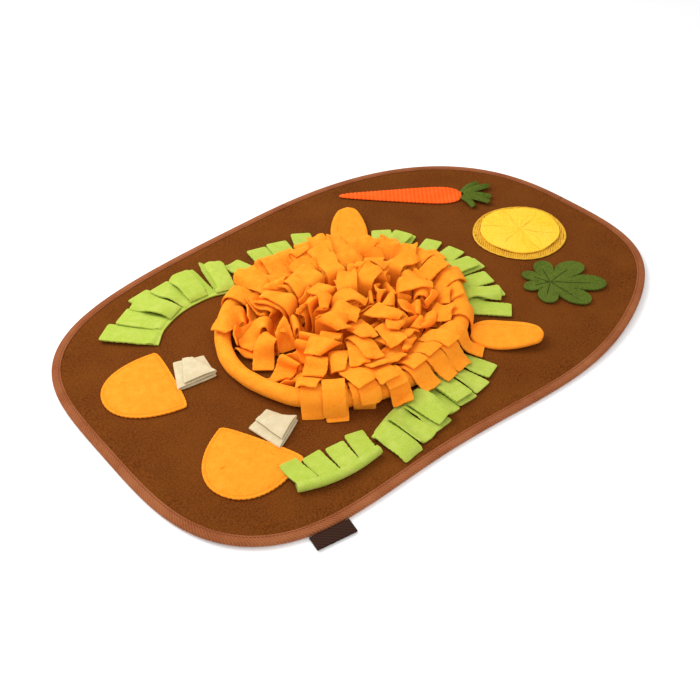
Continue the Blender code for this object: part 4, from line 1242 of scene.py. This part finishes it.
# =============================================================================
# The leaf: dark green felt cut to seven rounded lobes round one rib, sewn down by
# stitched ribs that sink into it. Its cut edge stays free and a little lifted.
# =============================================================================
LEAF_SPOT, LEAF_HEADING, LEAF_RADIUS, LEAF_LOBES = (190.0, -112.0), -44.0, 60.0, 7
LEAF_STRETCH = (1.10, 0.95)
LEAF_THICK = 2.0
LEAF_STITCH = (2.4, 2.1, 0.5)


def leaf_reach(angle):
    """How far the leaf reaches at an angle from its longest lobe, as a share of that lobe."""
    return 0.76 + 0.24 * np.cos(angle)


def leaf_outline(count=322):
    """The lobed outline in plan, its longest lobe along +X."""
    angle = np.linspace(0.0, 2 * np.pi, count * 8, endpoint=False)
    lobe = np.abs(np.cos(LEAF_LOBES * angle / 2)) ** 0.55
    reach = LEAF_RADIUS * (0.46 + 0.54 * lobe) * leaf_reach(angle)
    path = np.stack([LEAF_STRETCH[0] * reach * np.cos(angle),
                     LEAF_STRETCH[1] * reach * np.sin(angle)], -1)
    return even_steps(closed(path), count, looped=True)


outline = leaf_outline()
rings = rings_of(outline, (1.2, 0.4, 0.0), np.linspace(0.04, 0.97, 22))
rib_way = 2 * np.pi * np.arange(LEAF_LOBES) / LEAF_LOBES
rib_way = np.arctan2(LEAF_STRETCH[1] * np.sin(rib_way), LEAF_STRETCH[0] * np.cos(rib_way))
angle = np.arctan2(rings[..., 1], rings[..., 0])[..., None]
away = np.linalg.norm(rings, axis=-1)[..., None] * np.abs(np.sin(angle - rib_way))
near = np.where(np.cos(angle - rib_way) > 0, away, 99.0).min(-1)
share = share_out(rings, outline)
height = (0.9 * (1 - np.exp(-(near / 2.4) ** 2)) * (1 - 0.4 * share)
          + 1.3 * ease((share - 0.75) / 0.25))
middle = onto(laid_on(rings, LEAF_THICK / 2, height), LEAF_SPOT, LEAF_HEADING)
leaf = make_piece("leaf_felt", [solid_sheet(middle, LEAF_THICK, wrap=True, rim=0.8)], dark_felt,
                  "leaf", sharp=50.0)
rib_lines = []
for k, way in enumerate(rib_way):
    reach = LEAF_RADIUS * (0.62 if k else 0.80) * leaf_reach(way)
    line = np.linspace(2.0 if k else -22.0, reach, 12)[:, None] * heading(way)
    line = onto(laid_on(line, LEAF_THICK, -0.05), LEAF_SPOT, LEAF_HEADING)
    rib_lines.append(stitches(line, *LEAF_STITCH))
leaf_ribs = make_piece("leaf_stitches", rib_lines,
                       sewing_thread("dark_green_sewing_thread", "273810"))
declare_sheet(leaf, *np.ptp(outline, axis=0), "laid", area=flat_area(outline), thread=leaf_ribs)

# =============================================================================
# The citrus slice: a disc of yellow net sewn down, its edge bound in itself, and a
# loose flap of yellow felt over it, quilted by three seams that cross in the middle.
# =============================================================================
SLICE_SPOT = np.array((243.0, -18.0))
SLICE_FLAT = 0.93              # it is a little less deep than wide
NET_RADIUS, NET_PITCH, NET_CROSS_PITCH = 60.0, 2.9, 6.4
NET_STRAND, NET_CROSS = (1.29, 0.6), (0.7, 0.35)       # half width and half height of a strand
NET_RIM = (1.6, 0.85)
NET_LEVEL, CROSS_DROP = MAT_TOP + 0.95, 0.55
NET_LIE, CROSS_LIE = 38.0, 121.0   # directions of the main strands and of those under them
FLAP_RADIUS, FLAP_THICK, FLAP_SHIFT = 52.0, 2.0, np.array((2.0, 1.5))
FLAP_BASE = 1.8                # it lies on the net
FLAP_SEAMS = (14.0, 71.0, 129.0)
SEAM_BEND = 0.10               # radians that a seam bends to and fro on its way out
FLAP_STITCH = (3.2, 2.6, 0.38)


def disc_outline(radius, wobble, phase, count=240):
    """A round cut by hand: a circle a little flattened, with three and five slow waves."""
    angle = np.linspace(0.0, 2 * np.pi, count, endpoint=False)
    reach = radius * (1 + wobble * np.sin(3 * angle + phase) + 0.6 * wobble * np.sin(5 * angle))
    return np.stack([reach * np.cos(angle), SLICE_FLAT * reach * np.sin(angle)], -1)


def flat_rod(path, half_width, half_height, looped=False):
    """A strand: a six-sided flat section swept along a path that lies nearly flat."""
    ahead = np.roll(path, -1, 0) - np.roll(path, 1, 0) if looped else np.gradient(path, axis=0)
    side = unit(np.cross((0.0, 0.0, 1.0), ahead))
    turn = np.arange(6) * np.pi / 3
    ring = (side[:, None] * (np.cos(turn) * half_width)[:, None]
            + np.array((0.0, 0.0, 1.0)) * (np.sin(turn) * half_height)[:, None])
    faces = [grid_quads(len(path), 6, wrap_rows=looped, wrap_columns=True)]
    if not looped:
        cap = np.array([[0, 5, 4, 3], [0, 3, 2, 1]])
        faces += [cap, cap[:, ::-1] + 6 * (len(path) - 1)]
    return (path[:, None] + ring).reshape(-1, 3), faces


def net_strands(pitch, section, level, lie):
    """Parallel strands across a disc, each waved a little and cut at the disc's edge, and the
    area that they cover."""
    strands, length, radius = [], 0.0, NET_RADIUS - 1.0
    for offset in np.arange(-radius + pitch, radius - 0.5 * pitch, pitch):
        reach = math.sqrt(radius ** 2 - offset ** 2)
        run = np.linspace(-reach, reach, max(6, int(reach / 2.2)))
        wave = 0.22 * np.sin(run / 4.7 + offset * 1.9)
        path = onto(np.stack([run, offset + wave, np.full(len(run), level)], -1), (0.0, 0.0), lie)
        path = path * np.array((1.0, SLICE_FLAT, 1.0)) + np.array((*SLICE_SPOT, 0.0))
        strands.append(flat_rod(path, *section))
        length += 2 * reach
    return strands, 2 * length * section[0]


# knitted polyester net: smooth thin strands with air between them, a little glossy
yellow_net, tree, shader, _, (tone,) = new_cloth(
    "yellow_polyester_net", 0.6, 0.1, "E6BD47", ((5.0, 2.0, 0.6),))
finish_cloth(tree, shader, "D39825", ((tone, 0.35, 0.7, 0.0, 1.0, "E4B23A"),))
main_strands, main_area = net_strands(NET_PITCH, NET_STRAND, NET_LEVEL, NET_LIE)
cross_strands, cross_area = net_strands(
    NET_CROSS_PITCH, NET_CROSS, NET_LEVEL - CROSS_DROP, CROSS_LIE)
rim_line = disc_outline(NET_RADIUS, 0.012, 0.4)
rim_wave = 0.14 * np.sin(np.arange(len(rim_line)) * 0.9)
net_rim = flat_rod(laid_on(rim_line + SLICE_SPOT, 1.15, rim_wave), *NET_RIM, looped=True)
net = make_piece("slice_net", [*main_strands, *cross_strands, net_rim], yellow_net,
                 "slice_mesh", sharp=70.0)
declare_sheet(net, 2 * NET_RADIUS, 2 * SLICE_FLAT * NET_RADIUS, "laid",
              area=main_area + cross_area + 4 * np.pi * NET_RADIUS * NET_RIM[0])

outline = disc_outline(FLAP_RADIUS, 0.013, 2.0)
rings = rings_of(outline, (6.0, 3.0, 1.2, 0.4, 0.0), np.linspace(0.03, 0.95, 26))
reach = np.linalg.norm(rings, axis=-1)
angle = np.arctan2(rings[..., 1], rings[..., 0])
bend = SEAM_BEND * np.sin(reach / 14.0)
from_seams = (angle + bend)[..., None] - np.radians(FLAP_SEAMS)
away = (reach[..., None] * np.abs(np.sin(from_seams))).min(-1)
share = share_out(rings, outline)
puff = 1.3 * (1 - np.exp(-(away / 7.5) ** 2)) * (1 - share ** 3)
gather = 0.35 * np.sin(angle * 17.0 + reach / 6.0) * np.exp(-((share - 0.35) / 0.3) ** 2)
rim_wave = ripple(angle, ((0.5, 4, 0.6), (0.35, 9, 2.0))) * ease((share - 0.6) / 0.4)
middle = laid_on(rings, FLAP_BASE + FLAP_THICK / 2, puff + gather + rim_wave + 0.5)
flap_spot = SLICE_SPOT + FLAP_SHIFT
flap = make_piece("slice_flap_felt", [
    solid_sheet(onto(middle, flap_spot, 0.0), FLAP_THICK, wrap=True, rim=0.8)],
    needled_felt("yellow_felt", "F2B827", "FFC938", "FFD356", 2.4, 0.5),
    "slice_flap", sharp=50.0)
run = np.linspace(-FLAP_RADIUS * 0.9, FLAP_RADIUS * 0.9, 60)
seam_lines = []
for way in FLAP_SEAMS:
    turned = math.radians(way) - SEAM_BEND * np.sin(np.abs(run) / 14.0)
    line = laid_on(np.c_[run * np.cos(turned), run * np.sin(turned)], FLAP_BASE + FLAP_THICK, 0.55)
    seam_lines.append(stitches(onto(line, flap_spot, 0.0), *FLAP_STITCH))
flap_seams = make_piece("slice_stitches", seam_lines,
                        sewing_thread("yellow_sewing_thread", "E0B630"))
declare_sheet(flap, 2 * FLAP_RADIUS, 2 * SLICE_FLAT * FLAP_RADIUS, "laid", "slice_net",
              area=flat_area(outline), thread=flap_seams)
